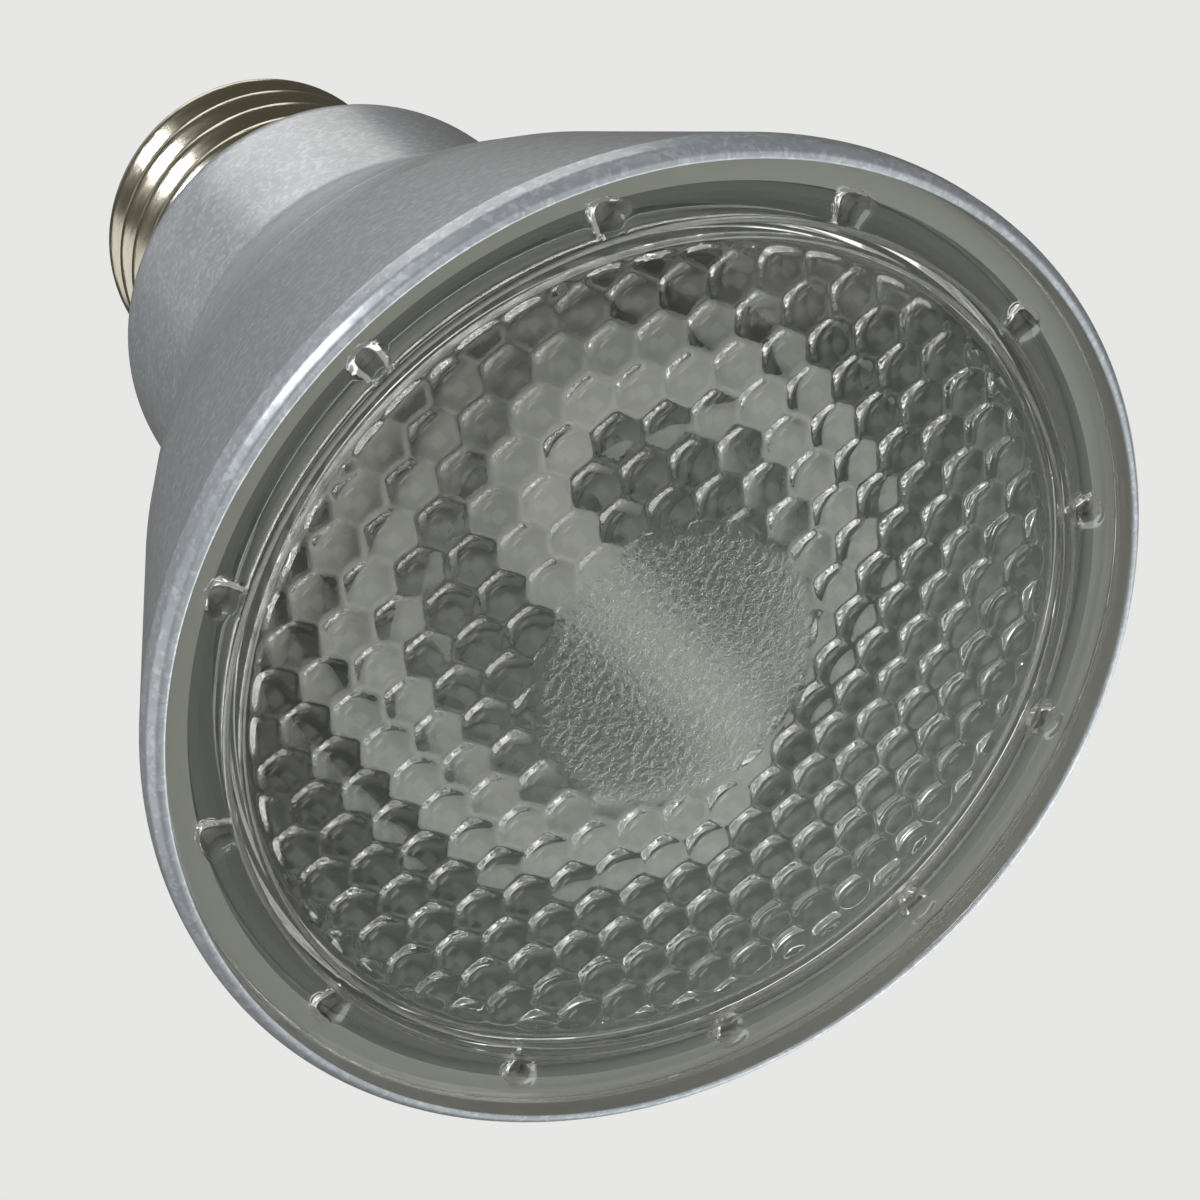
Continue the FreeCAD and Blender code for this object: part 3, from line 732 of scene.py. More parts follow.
@dataclass
class ScrewCap:
    """Nickel cap with its rolled helical thread, black glass, contact and solder."""

    nickel: bpy.types.Material
    glass: bpy.types.Material
    contact: bpy.types.Material
    solder: bpy.types.Material
    base: float = 65.5
    plain: float = 2.6
    crest: float = 13.1
    root: float = 12.1
    pitch: float = 3.62
    thread_start: float = 68.9
    thread_end: float = 83.9
    curl_base: float = 84.18
    curl_radius: float = 10.2
    curl_top: float = 85.78
    step: float = 0.8
    sheet: float = 0.3
    thread_rows: int = 84
    fade_in: tuple[float, float] = (-0.4, 1.6)
    fade_out: tuple[float, float] = (-1.2, 0.3)
    bore: float = 1.2
    glass_foot: float = 82.6
    glass_body: float = 11.7
    glass_waist: float = 9.88
    glass_shoulder: Corner = (7.6, 87.9, 3.0)
    glass_edge: float = 5.3
    glass_top: float = 89.38
    near: float = 0.01
    contact_corners: tuple[Corner, ...] = ((0.0, 0.0, 0.0), (4.8, 0.0, 0.12), (4.8, 0.35, 0.25),
                                           (3.6, 0.55, 2.0), (1.7, 0.8, 1.0), (0.0, 0.8, 0.0))
    solder_corners: tuple[Corner, ...] = ((0.0, 0.0, 0.0), (1.7, 0.0, 0.08), (1.45, 0.36, 0.6),
                                          (0.55, 0.6, 0.8), (0.0, 0.6, 0.0))
    solder_wobble: float = 0.04

    def thread_radius(self, level: float, angle: float) -> float:
        """Radius of the rolled thread.

        Args:
            level: height above the rim plane.
            angle: angle round the axis.

        Returns:
            The radius in millimetres.
        """
        middle, swing = (self.crest + self.root) / 2, (self.crest - self.root) / 2
        wave = math.cos(TURN * (level - self.thread_start) / self.pitch - angle)
        rise = [self.thread_start + share for share in self.fade_in]
        fall = [self.thread_end + share for share in self.fade_out]
        fade = eased(level, *rise) * (1 - eased(level, *fall))
        return self.root + (middle + swing * wave - self.root) * fade

    def build_shell(self) -> bpy.types.Object:
        """The nickel shell: plain skirt, thread and the curl round the glass.

        Returns:
            The piece.
        """
        inner, half = self.root - self.sheet, self.sheet / 2
        row_height = (self.thread_end - self.thread_start) / self.thread_rows
        outline = (Outline()
                   .to(inner, self.base)
                   .to(self.crest, self.base, 0.25)
                   .to(self.crest, self.base + self.plain, 0.5)
                   .to(self.root, self.base + self.plain + self.step, 0.5)
                   .run([(self.root, self.thread_start + row_height * (row + 1))
                         for row in range(self.thread_rows)])
                   .to(self.root, self.curl_base, 0.9)
                   .to(self.curl_radius, self.curl_top, half)
                   .to(self.curl_radius - self.sheet, self.curl_top - half)
                   .to(inner, self.curl_base - half))
        shape = outline.turned(steps=128)
        for vert in shape.verts:
            level, radius = vert.co.z / MM, radius_of(vert.co) / MM
            in_thread = self.thread_start - self.near < level < self.thread_end + self.near
            if in_thread and radius > self.root - 0.05:
                angle = math.atan2(vert.co.y, vert.co.x)
                growth = self.thread_radius(level, angle) / radius
                vert.co.x *= growth
                vert.co.y *= growth
        return finished(shape, "screw_cap", self.nickel, ["cap_shell"])

    def build_glass(self) -> bpy.types.Object:
        """Black glass that fills the end of the cap.

        Returns:
            The piece.
        """
        outline = (Outline()
                   .to(self.bore, self.glass_foot)
                   .to(self.glass_body, self.glass_foot)
                   .to(self.glass_body, self.curl_base - 0.2)
                   .to(self.glass_waist, self.curl_top - self.sheet)
                   .to(self.glass_waist, self.curl_top + 0.02, 0.5)
                   .to(*self.glass_shoulder)
                   .to(self.glass_edge, self.glass_top, 0.4)
                   .to(self.bore, self.glass_top))
        shape = outline.turned(steps=96)
        return finished(shape, "cap_glass", self.glass, ["cap_insulator"])

    def build_contact(self) -> bpy.types.Object:
        """Domed contact disc with a rolled edge.

        Returns:
            The piece.
        """
        outline = Outline().run(self.contact_corners, lift=self.glass_top)
        shape = outline.turned(steps=96, closed=False)
        return finished(shape, "contact_disc", self.contact, ["center_contact"])

    def build_solder(self) -> bpy.types.Object:
        """Drop of solder, a little off round.

        Returns:
            The piece.
        """
        outline = Outline().run(self.solder_corners, lift=self.glass_top + self.contact_corners[-1][1])
        shape = outline.turned(steps=48, closed=False)
        for vert in shape.verts:
            angle = math.atan2(vert.co.y, vert.co.x)
            growth = 1 + self.solder_wobble * (math.sin(3 * angle + 0.6) - 1)
            vert.co.x *= growth
            vert.co.y *= growth
        return finished(shape, "contact_solder_drop", self.solder, ["contact_solder"])


@dataclass
class Bowl:
    """Bright metallised reflector behind the lens."""

    mirror: bpy.types.Material
    sheet: float = 0.5
    mouth: float = 28.2
    flange: float = 28.9
    level: float = 3.7
    middle: Corner = (21.2, 20.5, 40.0)
    foot: Ring = (17.0, 38.6)

    def build(self) -> bpy.types.Object:
        """The bowl: flange, curved wall and turned-in foot.

        Returns:
            The piece.
        """
        sheet = self.sheet
        outline = (Outline()
                   .to(self.mouth, self.level - sheet, 0.3)
                   .to(self.flange, self.level - sheet, 0.15)
                   .to(self.flange, self.level, 0.15)
                   .to(self.mouth, self.level, 0.4)
                   .to(self.middle[0] + sheet, *self.middle[1:])
                   .to(self.foot[0] + sheet, self.foot[1])
                   .to(*self.foot)
                   .to(*self.middle)
                   .to(self.mouth - sheet, self.level, 0.4))
        shape = outline.turned(steps=160, arc_steps=10)
        return finished(shape, "bowl", self.mirror, ["reflector_bowl"])


@dataclass
class SpiralTube:
    """Coiled lamp tube: two legs wound up the axis and joined across the front."""

    opal: bpy.types.Material
    radius: float = 3.3
    coil: float = 15.7
    turns: float = 1.178
    front: float = 9.5
    bridge: float = 9.0
    bridge_bend: float = 5.3
    leg: float = 11.6
    bend: float = 5.5
    top: float = 35.0
    end: float = 42.2
    end_inset: float = 0.6
    end_dome: float = 0.28
    sides: int = 28

    def leg_points(self, steps: int = 5) -> list[Vector]:
        """One leg, from its end in the holder to the start of the coil.

        Args:
            steps: number of runs in its bend.

        Returns:
            Points in millimetres.
        """
        points = [Vector((self.leg, 0, self.end)), Vector((self.leg, 0, (self.end + self.top) / 2))]
        for step in range(steps + 1):
            angle = TURN / 4 * step / steps
            points.append(Vector((self.leg, self.bend * (math.cos(angle) - 1),
                                  self.top - self.bend * math.sin(angle))))
        return points

    def coil_points(self, start: Vector, steps: int = 14) -> list[Vector]:
        """One coil, which widens over its first three steps.

        Args:
            start: where the leg ends.
            steps: number of points.

        Returns:
            Points in millimetres.
        """
        lead, inner = math.atan2(start.y, start.x), math.hypot(start.x, start.y)
        points = []
        for step in range(1, steps + 1):
            angle = lead - TURN * self.turns * step / steps
            radius = inner + (self.coil - inner) * min(1, step / 3)
            level = start.z + (self.front - start.z) * step / steps
            points.append(Vector((radius * math.cos(angle), radius * math.sin(angle), level)))
        return points

    def bridge_points(self, start: Vector, steps: int = 4) -> list[Vector]:
        """The turn inwards from the coil, up to the straight run through the axis.

        Args:
            start: where the coil ends.
            steps: number of points.

        Returns:
            Points in millimetres.
        """
        lead = Matrix.Rotation(math.atan2(start.y, start.x), 3, "Z")
        middle = self.coil - self.bridge_bend
        sweep = math.pi - math.acos(self.bridge_bend / middle)
        points = []
        for step in range(1, steps + 1):
            angle = sweep * step / steps
            spot = lead @ Vector((middle + self.bridge_bend * math.cos(angle),
                                  -self.bridge_bend * math.sin(angle), 0))
            spot.z = start.z + (self.bridge - start.z) * step / (steps + 1)
            points.append(spot)
        return points

    def half_path(self) -> list[Vector]:
        """Points of one half, from its end in the holder to where it nears the axis.

        Returns:
            Points in millimetres.
        """
        points = self.leg_points()
        points += self.coil_points(points[-1])
        return points + self.bridge_points(points[-1])

    def path(self) -> list[Vector]:
        """Both legs and the middle of the bridge, in millimetres."""
        half = self.half_path()
        return half + [Vector((0, 0, self.bridge))] + [Vector((-p.x, -p.y, p.z)) for p in reversed(half)]

    def smooth_path(self, between: int = 5) -> list[Vector]:
        """The path on one smooth curve through its points.

        Args:
            between: runs between one point and the next.

        Returns:
            Points in millimetres.
        """
        points = self.path()
        padded = [points[0] * 2 - points[1]] + points + [points[-1] * 2 - points[-2]]
        found = []
        for a, b, c, d in zip(padded, padded[1:], padded[2:], padded[3:]):
            for step in range(between):
                t = step / between
                found.append(0.5 * ((2 * b) + (c - a) * t + (2 * a - 5 * b + 4 * c - d) * t * t
                                    + (3 * b - a - 3 * c + d) * t ** 3))
        return found + [points[-1]]

    def build(self) -> bpy.types.Object:
        """The tube: a ring carried along the path, its ends domed.

        Returns:
            The piece.
        """
        spots = self.smooth_path()
        shape = bmesh.new()
        across = Vector((1, 0, 0))
        rings = []
        for index, spot in enumerate(spots):
            ahead = (spots[min(index + 1, len(spots) - 1)] - spots[max(index - 1, 0)]).normalized()
            across = (across - ahead * across.dot(ahead)).normalized()
            place = Matrix((across, ahead.cross(across), ahead)).transposed().to_4x4()
            place.translation = spot * MM
            rings.append(bmesh.ops.create_circle(shape, cap_ends=False, segments=self.sides,
                                                 radius=self.radius * MM, matrix=place)["verts"])
        for first, second in zip(rings, rings[1:]):
            for i in range(self.sides):
                after = (i + 1) % self.sides
                shape.faces.new((first[i], first[after], second[after], second[i]))
        for ring in (rings[0], rings[-1]):
            cap = shape.faces.new(ring)
            bmesh.ops.inset_individual(shape, faces=[cap], thickness=self.end_inset * MM,
                                       depth=self.end_dome * MM)
        bmesh.ops.recalc_face_normals(shape, faces=shape.faces)
        return finished(shape, "spiral_lamp_tube", self.opal, ["spiral_tube"],
                        Shading.SMOOTH)


@dataclass
class Lens:
    """Clear front lens: honeycomb pillows, frosted middle, skirt and gusset tabs."""

    clear: bpy.types.Material
    apex: float = 0.2
    front: float = 1.0
    back: float = 2.26
    plate: float = 1.3
    skirt_outer: float = 27.1
    skirt_inner: float = 26.05
    skirt_rings: tuple[Ring, ...] = ((26.05, 2.42), (26.2, 4.65), (26.45, 4.9), (26.75, 4.9),
                                     (26.98, 4.65), (27.1, 2.41))
    back_rings: tuple[float, float, int] = (27.3, 0.12, 21)
    edge_rings: tuple[Ring, ...] = ((30.55, 2.26), (30.65, 2.16), (30.65, 1.15), (30.5, 1.0))
    front_rings: tuple[float, float, int] = (29.9, -0.15, 17)
    dome_rings: int = 16
    pitch: float = 2.98
    turn: float = math.radians(5.6)
    splits: int = 6
    pillow_radius: float = 2.7
    frost_radius: float = 9.2
    frost_blend: float = 0.35
    frost_fill: float = 0.6
    wrinkle_height: float = 0.026
    wrinkle_fade: tuple[float, float] = (-0.5, 0.2)
    field_edge: float = 25.4
    field_fade: tuple[float, float] = (-0.3, 0.25)
    tab_count: int = 12
    bead_inner: float = 26.3
    bead_outer: float = 27.2
    bead_half: float = 0.2
    bead_height: float = 0.18
    tab_inner: float = 26.9
    tab_outer: float = 29.2
    tab_root: float = 0.45
    tab_width: float = 1.25
    tab_end: float = 1.25
    tab_round: tuple[float, float] = (0.62, 0.45)
    tab_rise: float = 0.9
    tab_front: float = 0.25

    def nearest_centre(self, x: float, y: float) -> tuple[float, float]:
        """Centre of the cell that holds a point.

        Args:
            x: place along X in millimetres.
            y: place along Y in millimetres.

        Returns:
            The centre of that cell.
        """
        cosine, sine = math.cos(self.turn), math.sin(self.turn)
        u, v = x * cosine + y * sine, y * cosine - x * sine
        row_pitch = self.pitch * math.sqrt(3) / 2
        row = v / row_pitch
        column = u / self.pitch - row / 2
        best = (0.0, 0.0, 1e9)
        for i in (math.floor(column), math.floor(column) + 1):
            for j in (math.floor(row), math.floor(row) + 1):
                cu, cv = self.pitch * (i + j / 2), row_pitch * j
                far = math.hypot(u - cu, v - cv)
                if far < best[2]:
                    best = (cu, cv, far)
        return best[0] * cosine - best[1] * sine, best[0] * sine + best[1] * cosine

    def pillow_height(self, x: float, y: float) -> float:
        """Height of the honeycomb over the dome.

        Args:
            x: place along X in millimetres.
            y: place along Y in millimetres.

        Returns:
            The height in millimetres.
        """
        centre = self.nearest_centre(x, y)
        far = math.hypot(x - centre[0], y - centre[1])
        corner = self.pitch / math.sqrt(3)
        swell = (corner ** 2 - far ** 2) / (2 * self.pillow_radius)
        reach = math.hypot(x, y)
        low, high = self.field_fade
        outside = 1 - eased(reach, self.field_edge + low, self.field_edge + high)
        return swell * self.beyond_frost(reach) * outside

    def beyond_frost(self, reach: float) -> float:
        """0 in the frosted middle, 1 outside it."""
        return eased(reach, self.frost_radius - self.frost_blend, self.frost_radius + self.frost_blend)

    def wrinkle(self, x: float, y: float) -> float:
        """Height of the wrinkles of the frosted middle.

        Args:
            x: place along X in millimetres.
            y: place along Y in millimetres.

        Returns:
            The height in millimetres.
        """
        reach = math.hypot(x, y)
        low, high = self.wrinkle_fade
        share = 1 - eased(reach, self.frost_radius + low, self.frost_radius + high)
        # Three crossed waves, in radians per millimetre
        wave = (math.sin(7.1 * x + 2.3 * math.sin(3.7 * y))
                + math.sin(6.3 * y + 1.9 * math.sin(4.9 * x + 1.0))
                + math.sin(5.2 * (x + y) + 1.4 * math.sin(8.1 * (x - y))))
        return self.wrinkle_height * wave * share

    def dome_level(self, reach: float) -> float:
        """Level of the smooth outer face at one distance from the axis, in millimetres."""
        return self.apex + (self.front - self.apex) * min(1.0, reach / self.skirt_inner) ** 2

    def inner_level(self, x: float, y: float) -> float:
        """Level of the moulded inner face.

        Args:
            x: place along X in millimetres.
            y: place along Y in millimetres.

        Returns:
            The level in millimetres.
        """
        reach = math.hypot(x, y)
        rise = self.pitch ** 2 / 3 / (2 * self.pillow_radius)
        fill = rise * self.frost_fill * (1 - self.beyond_frost(reach))
        return self.dome_level(reach) + self.plate + self.pillow_height(x, y) + self.wrinkle(x, y) + fill

    def tab_depth(self, x: float, y: float) -> float:
        """How far a gusset tab stands out of the back of the lens.

        Args:
            x: place along X in millimetres.
            y: place along Y in millimetres.

        Returns:
            The depth in millimetres.
        """
        step = TURN / self.tab_count
        angle = math.atan2(y, x)
        angle -= round(angle / step) * step
        reach = math.hypot(x, y)
        along, aside = reach * math.cos(angle), reach * math.sin(angle)
        share = (along - self.tab_inner) / (self.tab_outer - self.tab_inner)
        if not 0 < share < self.tab_end:
            return 0.0
        width = self.tab_root + (self.tab_width - self.tab_root) * min(share, 1.0)
        round_start, round_length = self.tab_round
        if share > round_start:
            width *= math.sqrt(max(0.0, 1 - ((share - round_start) / round_length) ** 2))
        if abs(aside) >= width:
            return 0.0
        return width * (1 - (aside / width) ** 2) * self.tab_rise

    def tab_relief(self, x: float, y: float, radius: float, level: float) -> float:
        """How far a gusset tab moves one point of the flange.

        Args:
            x: place along X in millimetres.
            y: place along Y in millimetres.
            radius: radius of the point's ring in millimetres.
            level: level of its ring in millimetres.

        Returns:
            The move along Z in millimetres: up on the back, slightly down on the front.
        """
        near = 0.01
        if radius < self.skirt_outer - near:
            return 0.0
        if abs(level - self.back) < near or (radius, level) == self.skirt_rings[-1]:
            return self.tab_depth(x, y)
        if abs(level - self.front) < near and radius > self.bead_outer + self.bead_half + near:
            return -self.tab_depth(x, y) * self.tab_front
        return 0.0

    def face_grid(self) -> bmesh.types.BMesh:
        """Inner face as a grid of small triangles whose edges follow the honeycomb.

        Returns:
            The open face.
        """
        step = self.pitch / (math.sqrt(3) * self.splits)
        half_side = math.radians(30)
        count = math.ceil(self.skirt_inner / (step * math.cos(half_side))) + 1
        shape = bmesh.new()
        bmesh.ops.create_circle(shape, cap_ends=True, cap_tris=True, segments=6, radius=count * step * MM,
                                matrix=Matrix.Rotation(self.turn + half_side, 4, "Z"))
        bmesh.ops.subdivide_edges(shape, edges=shape.edges, cuts=count - 1, use_grid_fill=True)
        limit = (self.skirt_inner - step * 0.4) * MM
        spare = [v for v in shape.verts if radius_of(v.co) > limit]
        bmesh.ops.delete(shape, geom=spare, context="VERTS")
        for vert in shape.verts:
            vert.co.z = self.inner_level(vert.co.x / MM, vert.co.y / MM) * MM
        return shape

    def ring_out(self, shape: bmesh.types.BMesh, edges: list[bmesh.types.BMEdge], radius: float,
                 level: float) -> list[bmesh.types.BMEdge]:
        """Extrudes the open edge of the face to a ring.

        Args:
            shape: the lens so far.
            edges: its open edge.
            radius: radius of the new ring in millimetres.
            level: level of the new ring in millimetres.

        Returns:
            The new open edge.
        """
        made = bmesh.ops.extrude_edge_only(shape, edges=edges)["geom"]
        for vert in (g for g in made if isinstance(g, bmesh.types.BMVert)):
            angle = math.atan2(vert.co.y, vert.co.x)
            x, y = radius * math.cos(angle), radius * math.sin(angle)
            vert.co = Vector((x, y, level + self.tab_relief(x, y, radius, level))) * MM
        return [g for g in made if isinstance(g, bmesh.types.BMEdge)]

    def bead(self, radius: float) -> list[Ring]:
        """Rings of one raised bead on the front face.

        Args:
            radius: radius of its crest in millimetres.

        Returns:
            Radius and level of each ring.
        """
        return [(radius + self.bead_half * share, self.front - self.bead_height * (1 - share ** 2))
                for share in (-1.0, -0.75, -0.4, 0.0, 0.4, 0.75, 1.0)]

    def rings(self) -> list[Ring]:
        """The lens from its inner face over skirt and flange to the outer face.

        Returns:
            Radius and level of each ring.
        """
        found = list(self.skirt_rings)
        start, step, count = self.back_rings
        found += [(start + step * i, self.back) for i in range(count)]
        found += self.edge_rings
        start, step, count = self.front_rings
        found += [(start + step * i, self.front) for i in range(count)]
        found += reversed(self.bead(self.bead_inner) + self.bead(self.bead_outer))
        for i in range(1, self.dome_rings):
            reach = self.skirt_inner * (1 - i / self.dome_rings)
            found.append((reach, self.dome_level(reach)))
        return found

    def build(self) -> bpy.types.Object:
        """The lens as one closed mesh: honeycomb inner face, skirt, tabs, flange, smooth outer face.

        Returns:
            The piece.
        """
        shape = self.face_grid()
        edges = [e for e in shape.edges if e.is_boundary]
        for radius, level in self.rings():
            edges = self.ring_out(shape, edges, radius, level)
        bmesh.ops.contextual_create(shape, geom=edges)
        bmesh.ops.recalc_face_normals(shape, faces=shape.faces)
        return finished(shape, "honeycomb_lens", self.clear, ["lens"])


@dataclass
class Inside:
    """Finishes of the CAD pieces that stay as they are, inside the housings."""

    effects: Effects

    def finishes(self) -> dict[str, Finish]:
        """The finish of each CAD node that stays.

        Returns:
            Finishes by node name.
        """
        return {
            "tube_base": Finish("white_plate", (0.72, 0.72, 0.69), (0.62, 0.62, 0.59), roughness=0.45),
            "tube_cement": Finish("cement", (0.62, 0.60, 0.54), (0.50, 0.48, 0.43), roughness=0.85,
                                  bump=0.5),
            "circuit_board": Finish("phenolic_board", (0.42, 0.29, 0.13), (0.34, 0.22, 0.09),
                                    roughness=0.5),
            "bulk_capacitor": Finish("can_sleeve", (0.030, 0.034, 0.05), (0.05, 0.055, 0.075),
                                     roughness=0.28),
            "choke_core": Finish("ferrite", (0.035, 0.035, 0.037), (0.06, 0.06, 0.06), roughness=0.6,
                                 bump=0.4),
            "choke_coil": Finish("winding_tape", (0.52, 0.36, 0.07), (0.42, 0.28, 0.05), roughness=0.35),
            "drive_toroid": Finish("green_ferrite", (0.06, 0.16, 0.09), (0.04, 0.11, 0.06), roughness=0.4),
            "switching_transistors": Finish("epoxy_case", (0.02, 0.02, 0.021), (0.035, 0.035, 0.035),
                                            roughness=0.5),
            "rectifier_diodes": Finish("diode_case", (0.022, 0.022, 0.023), (0.04, 0.04, 0.04),
                                       roughness=0.5),
            "resonant_capacitor": Finish("film_case", (0.28, 0.05, 0.03), (0.22, 0.035, 0.02),
                                         roughness=0.3),
            "start_capacitor": Finish("disc_case", (0.05, 0.12, 0.34), (0.035, 0.09, 0.27), roughness=0.4),
            "filter_inductor": Finish("drum_ferrite", (0.03, 0.03, 0.032), (0.05, 0.05, 0.05),
                                      roughness=0.6),
            "fuse_resistor": Finish("fuse_coat", (0.20, 0.30, 0.16), (0.15, 0.24, 0.12), roughness=0.55),
            "resistors": Finish("resistor_coat", (0.52, 0.41, 0.24), (0.44, 0.34, 0.19), roughness=0.5),
            "filament_posts": Finish("tinned_post", (0.62, 0.60, 0.55), (0.5, 0.48, 0.44), metallic=1.0,
                                     roughness=0.3),
            "filament_leads": Finish("tinned_lead", (0.64, 0.63, 0.6), (0.52, 0.51, 0.49), metallic=1.0,
                                     roughness=0.3),
            "live_wire": Finish("brown_wire", (0.16, 0.055, 0.022), (0.13, 0.045, 0.018), roughness=0.45),
            "neutral_wire": Finish("blue_wire", (0.03, 0.07, 0.27), (0.022, 0.055, 0.22), roughness=0.45),
        }

    def dress(self, nodes: dict[str, bpy.types.Object]) -> None:
        """Puts each finish on its CAD node.

        Args:
            nodes: the frame's CAD nodes by name.
        """
        for name, finish in self.finishes().items():
            material = finish.material(self.effects)
            slots = nodes[name].material_slots
            if not slots:
                nodes[name].data.materials.append(material)
            for slot in slots:
                slot.material = material
            LOG.info("%s dressed as %s", name, finish.name)


# The studio
@dataclass(frozen=True)
class SoftBox:
    """One square soft light that aims at the lamp."""

    name: str
    place: Vector
    side: float
    power: float
    tint: Colour = (1.0, 1.0, 1.0)


@dataclass
class Studio:
    """Floor, world, soft lights and the camera at the photograph's angle."""

    eye: Vector = field(default_factory=lambda: Vector((-0.04362, -0.07916, -0.11055)))
    ahead: Vector = field(default_factory=lambda: Vector((0.28452, 0.52392, 0.80284)))
    above: Vector = field(default_factory=lambda: Vector((0.32684, -0.84030, 0.43253)))
    focal: float = 73.88
    sensor: float = 36.0
    middle: Vector = field(default_factory=lambda: Vector((0, 0, 0.035)))
    pale: Colour = (0.80, 0.80, 0.79)
    ambient: Colour = (0.29, 0.29, 0.29)
    mirrored: Colour = (0.075, 0.070, 0.055)
    refracted: Colour = (0.32, 0.32, 0.31)
    sheen: Colour = (1.16, 1.28, 1.22)
    sheen_side: tuple[float, float, float] = (0.42, 0.72, -0.55)
    floor_colour: Colour = (0.82, 0.82, 0.81)
    floor_glow: Colour = (0.9, 0.9, 0.89)
    floor_strength: float = 0.28
    floor_radius: float = 3.0

    def axes(self) -> tuple[Vector, Vector, Vector]:
        """The camera's right, up and forward directions."""
        right = self.ahead.cross(self.above).normalized()
        return right, right.cross(self.ahead).normalized(), self.ahead.normalized()

    def build_camera(self) -> None:
        """The camera, which looks up at the lens from below as the photograph does."""
        data = bpy.data.cameras.new("photo_camera")
        data.lens = self.focal
        data.sensor_width = self.sensor
        data.clip_start, data.clip_end = 0.005, 20.0
        camera = linked("photo_camera", data)
        right, up, ahead = self.axes()
        facing = Matrix((right, up, -ahead)).transposed().to_4x4()
        camera.matrix_world = Matrix.Translation(self.eye) @ facing
        bpy.context.scene.camera = camera

    def build_floor(self) -> None:
        """Pale floor that shows from above only, so that the camera below sees the lens."""
        shape = bmesh.new()
        bmesh.ops.create_circle(shape, cap_ends=True, segments=96, radius=self.floor_radius)
        mesh = bpy.data.meshes.new("floor")
        shape.to_mesh(mesh)
        shape.free()
        material, w, shader = blank("pale_floor")
        w.feed(shader, "Base Color", self.floor_colour)
        w.feed(shader, "Roughness", 0.7)
        w.feed(shader, "Emission Color", self.floor_glow)
        w.feed(shader, "Emission Strength", self.floor_strength)
        geometry = w.add("ShaderNodeNewGeometry")
        w.show(w.mixed(geometry.outputs["Backfacing"], shader, w.add("ShaderNodeBsdfTransparent")))
        mesh.materials.append(material)
        floor = linked("floor", mesh)
        floor.visible_shadow = False
        floor.visible_glossy = False
        floor.visible_transmission = False
        floor.visible_diffuse = False

    def build_world(self) -> None:
        """Pale surroundings for the camera, dimmer ones for light and dark ones for reflections."""
        world = bpy.data.worlds.new("studio")
        bpy.context.scene.world = world
        world.use_nodes = True
        w = Wiring(world.node_tree)
        seen = world.node_tree.nodes["Background"]
        w.feed(seen, "Color", self.pale)
        side = w.add("ShaderNodeVectorMath", operation="DOT_PRODUCT")
        w.feed(side, 0, w.add("ShaderNodeTexCoord").outputs["Generated"])
        w.feed(side, 1, self.sheen_side)
        glow = w.spread(side.outputs["Value"], 0.80, 1.0)
        lit, dark, bright = (w.add("ShaderNodeBackground", Color=colour) for colour in (
            self.ambient, w.blended(glow, self.mirrored, self.sheen), self.refracted))
        path = w.add("ShaderNodeLightPath")
        room = w.mixed(path.outputs["Is Glossy Ray"], lit, dark)
        room = w.mixed(path.outputs["Is Transmission Ray"], room, bright)
        w.show(w.mixed(path.outputs["Is Camera Ray"], room, seen))

    def lights(self) -> list[SoftBox]:
        """The soft boxes, placed round the camera's view and above the standing lamp.

        Returns:
            One entry for each light.
        """
        right, up, ahead = self.axes()
        centre = self.middle
        return [
            SoftBox("rim_key", centre + Vector((-0.59, -0.79, -0.12)) * 0.6, 0.15, 1.35),
            SoftBox("cap_key", centre + Vector((0.12, -0.50, 0.80)) * 0.6, 0.36, 0.50, (1.0, 0.98, 0.93)),
            SoftBox("front", Vector((-0.045, -0.07, -0.6)), 0.55, 0.85),
            SoftBox("left_fill", centre - right * 0.65 - up * 0.35 - ahead * 0.15, 0.6, 0.85),
            SoftBox("right_fill", centre + right * 0.6 - ahead * 0.25 - up * 0.1, 0.4, 0.4),
            SoftBox("low_right", Vector((0.27, 0.42, -0.13)), 0.35, 0.80),
            SoftBox("sky", Vector((-0.25, -0.3, 0.75)), 0.6, 0.25),
            SoftBox("behind", Vector((0.4, 0.5, 0.35)), 0.5, 0.8),
        ]

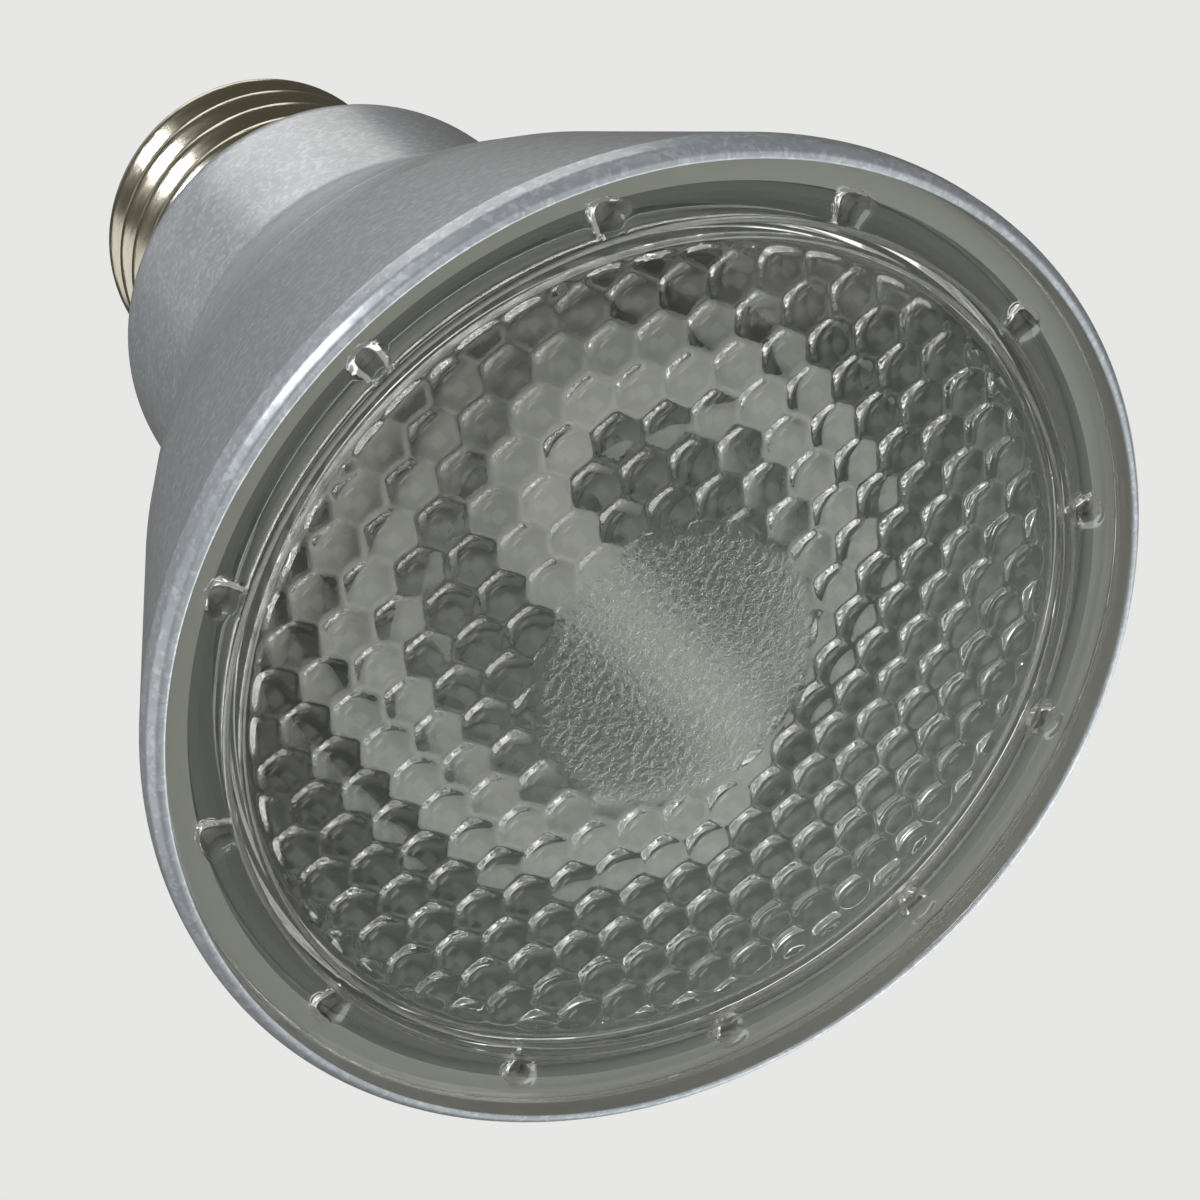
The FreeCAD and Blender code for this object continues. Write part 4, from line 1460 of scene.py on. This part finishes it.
    def build_lights(self) -> None:
        """Adds every soft box."""
        for box in self.lights():
            data = bpy.data.lights.new(box.name, "AREA")
            data.shape = "SQUARE"
            data.size = box.side
            data.energy = box.power
            data.color = box.tint
            lamp = linked(box.name, data)
            facing = (self.middle - box.place).to_track_quat("-Z", "Y").to_matrix().to_4x4()
            lamp.matrix_world = Matrix.Translation(box.place) @ facing

    def set_view(self) -> None:
        """Plain colour handling and soft denoising."""
        scene = bpy.context.scene
        scene.view_settings.view_transform = "Standard"
        scene.view_settings.look = "None"
        scene.cycles.use_denoising = True
        scene.cycles.max_bounces = 24
        scene.cycles.glossy_bounces = 16
        scene.cycles.transmission_bounces = 16
        scene.cycles.transparent_max_bounces = 16


def main() -> None:
    """Builds the lamp's pieces in order, then the studio."""
    logging.basicConfig(level=logging.INFO, format="%(message)s")
    effects = Effects()
    paint = SilverPaint().material(effects)
    nickel = Finish("nickel_plate", (0.78, 0.74, 0.63), (0.62, 0.57, 0.46), amount=0.6, scale=260.0,
                    stretch=7.0, roughness=0.22, rough_swing=0.06, metallic=1.0, bump=0.9,
                    bump_depth=0.0001).material(effects)
    black = Finish("black_glass", (0.012, 0.012, 0.014), (0.02, 0.02, 0.02), roughness=0.12,
                   rough_swing=0.04, bump=0.1).material(effects)
    contact = Finish("tinned_contact", (0.62, 0.56, 0.42), (0.50, 0.45, 0.34), metallic=1.0,
                     roughness=0.28).material(effects)
    solder = Finish("solder", (0.55, 0.55, 0.56), (0.44, 0.44, 0.45), metallic=1.0, roughness=0.36,
                    bump=0.3).material(effects)
    mirror = BowlMirror().material(effects)
    opal = Finish("opal_tube", (0.47, 0.47, 0.445), (0.43, 0.43, 0.41), scale=400.0, roughness=0.3,
                  rough_swing=0.05, bump=0.05).material(effects)
    shell = Shell(paint)
    cap = ScrewCap(nickel, black, contact, solder)
    builders = (shell.build_flare, shell.build_neck, cap.build_shell, cap.build_glass, cap.build_contact,
                cap.build_solder, Bowl(mirror).build, SpiralTube(opal).build,
                Lens(ClearLens().material(effects)).build)
    for build in builders:
        piece = build()
        LOG.info("%s: %d faces", piece.name, len(piece.data.polygons))
    Inside(effects).dress(frame["nodes"])
    studio = Studio()
    studio.build_camera()
    studio.build_floor()
    studio.build_world()
    studio.build_lights()
    studio.set_view()


if __name__ == "__main__":
    main()
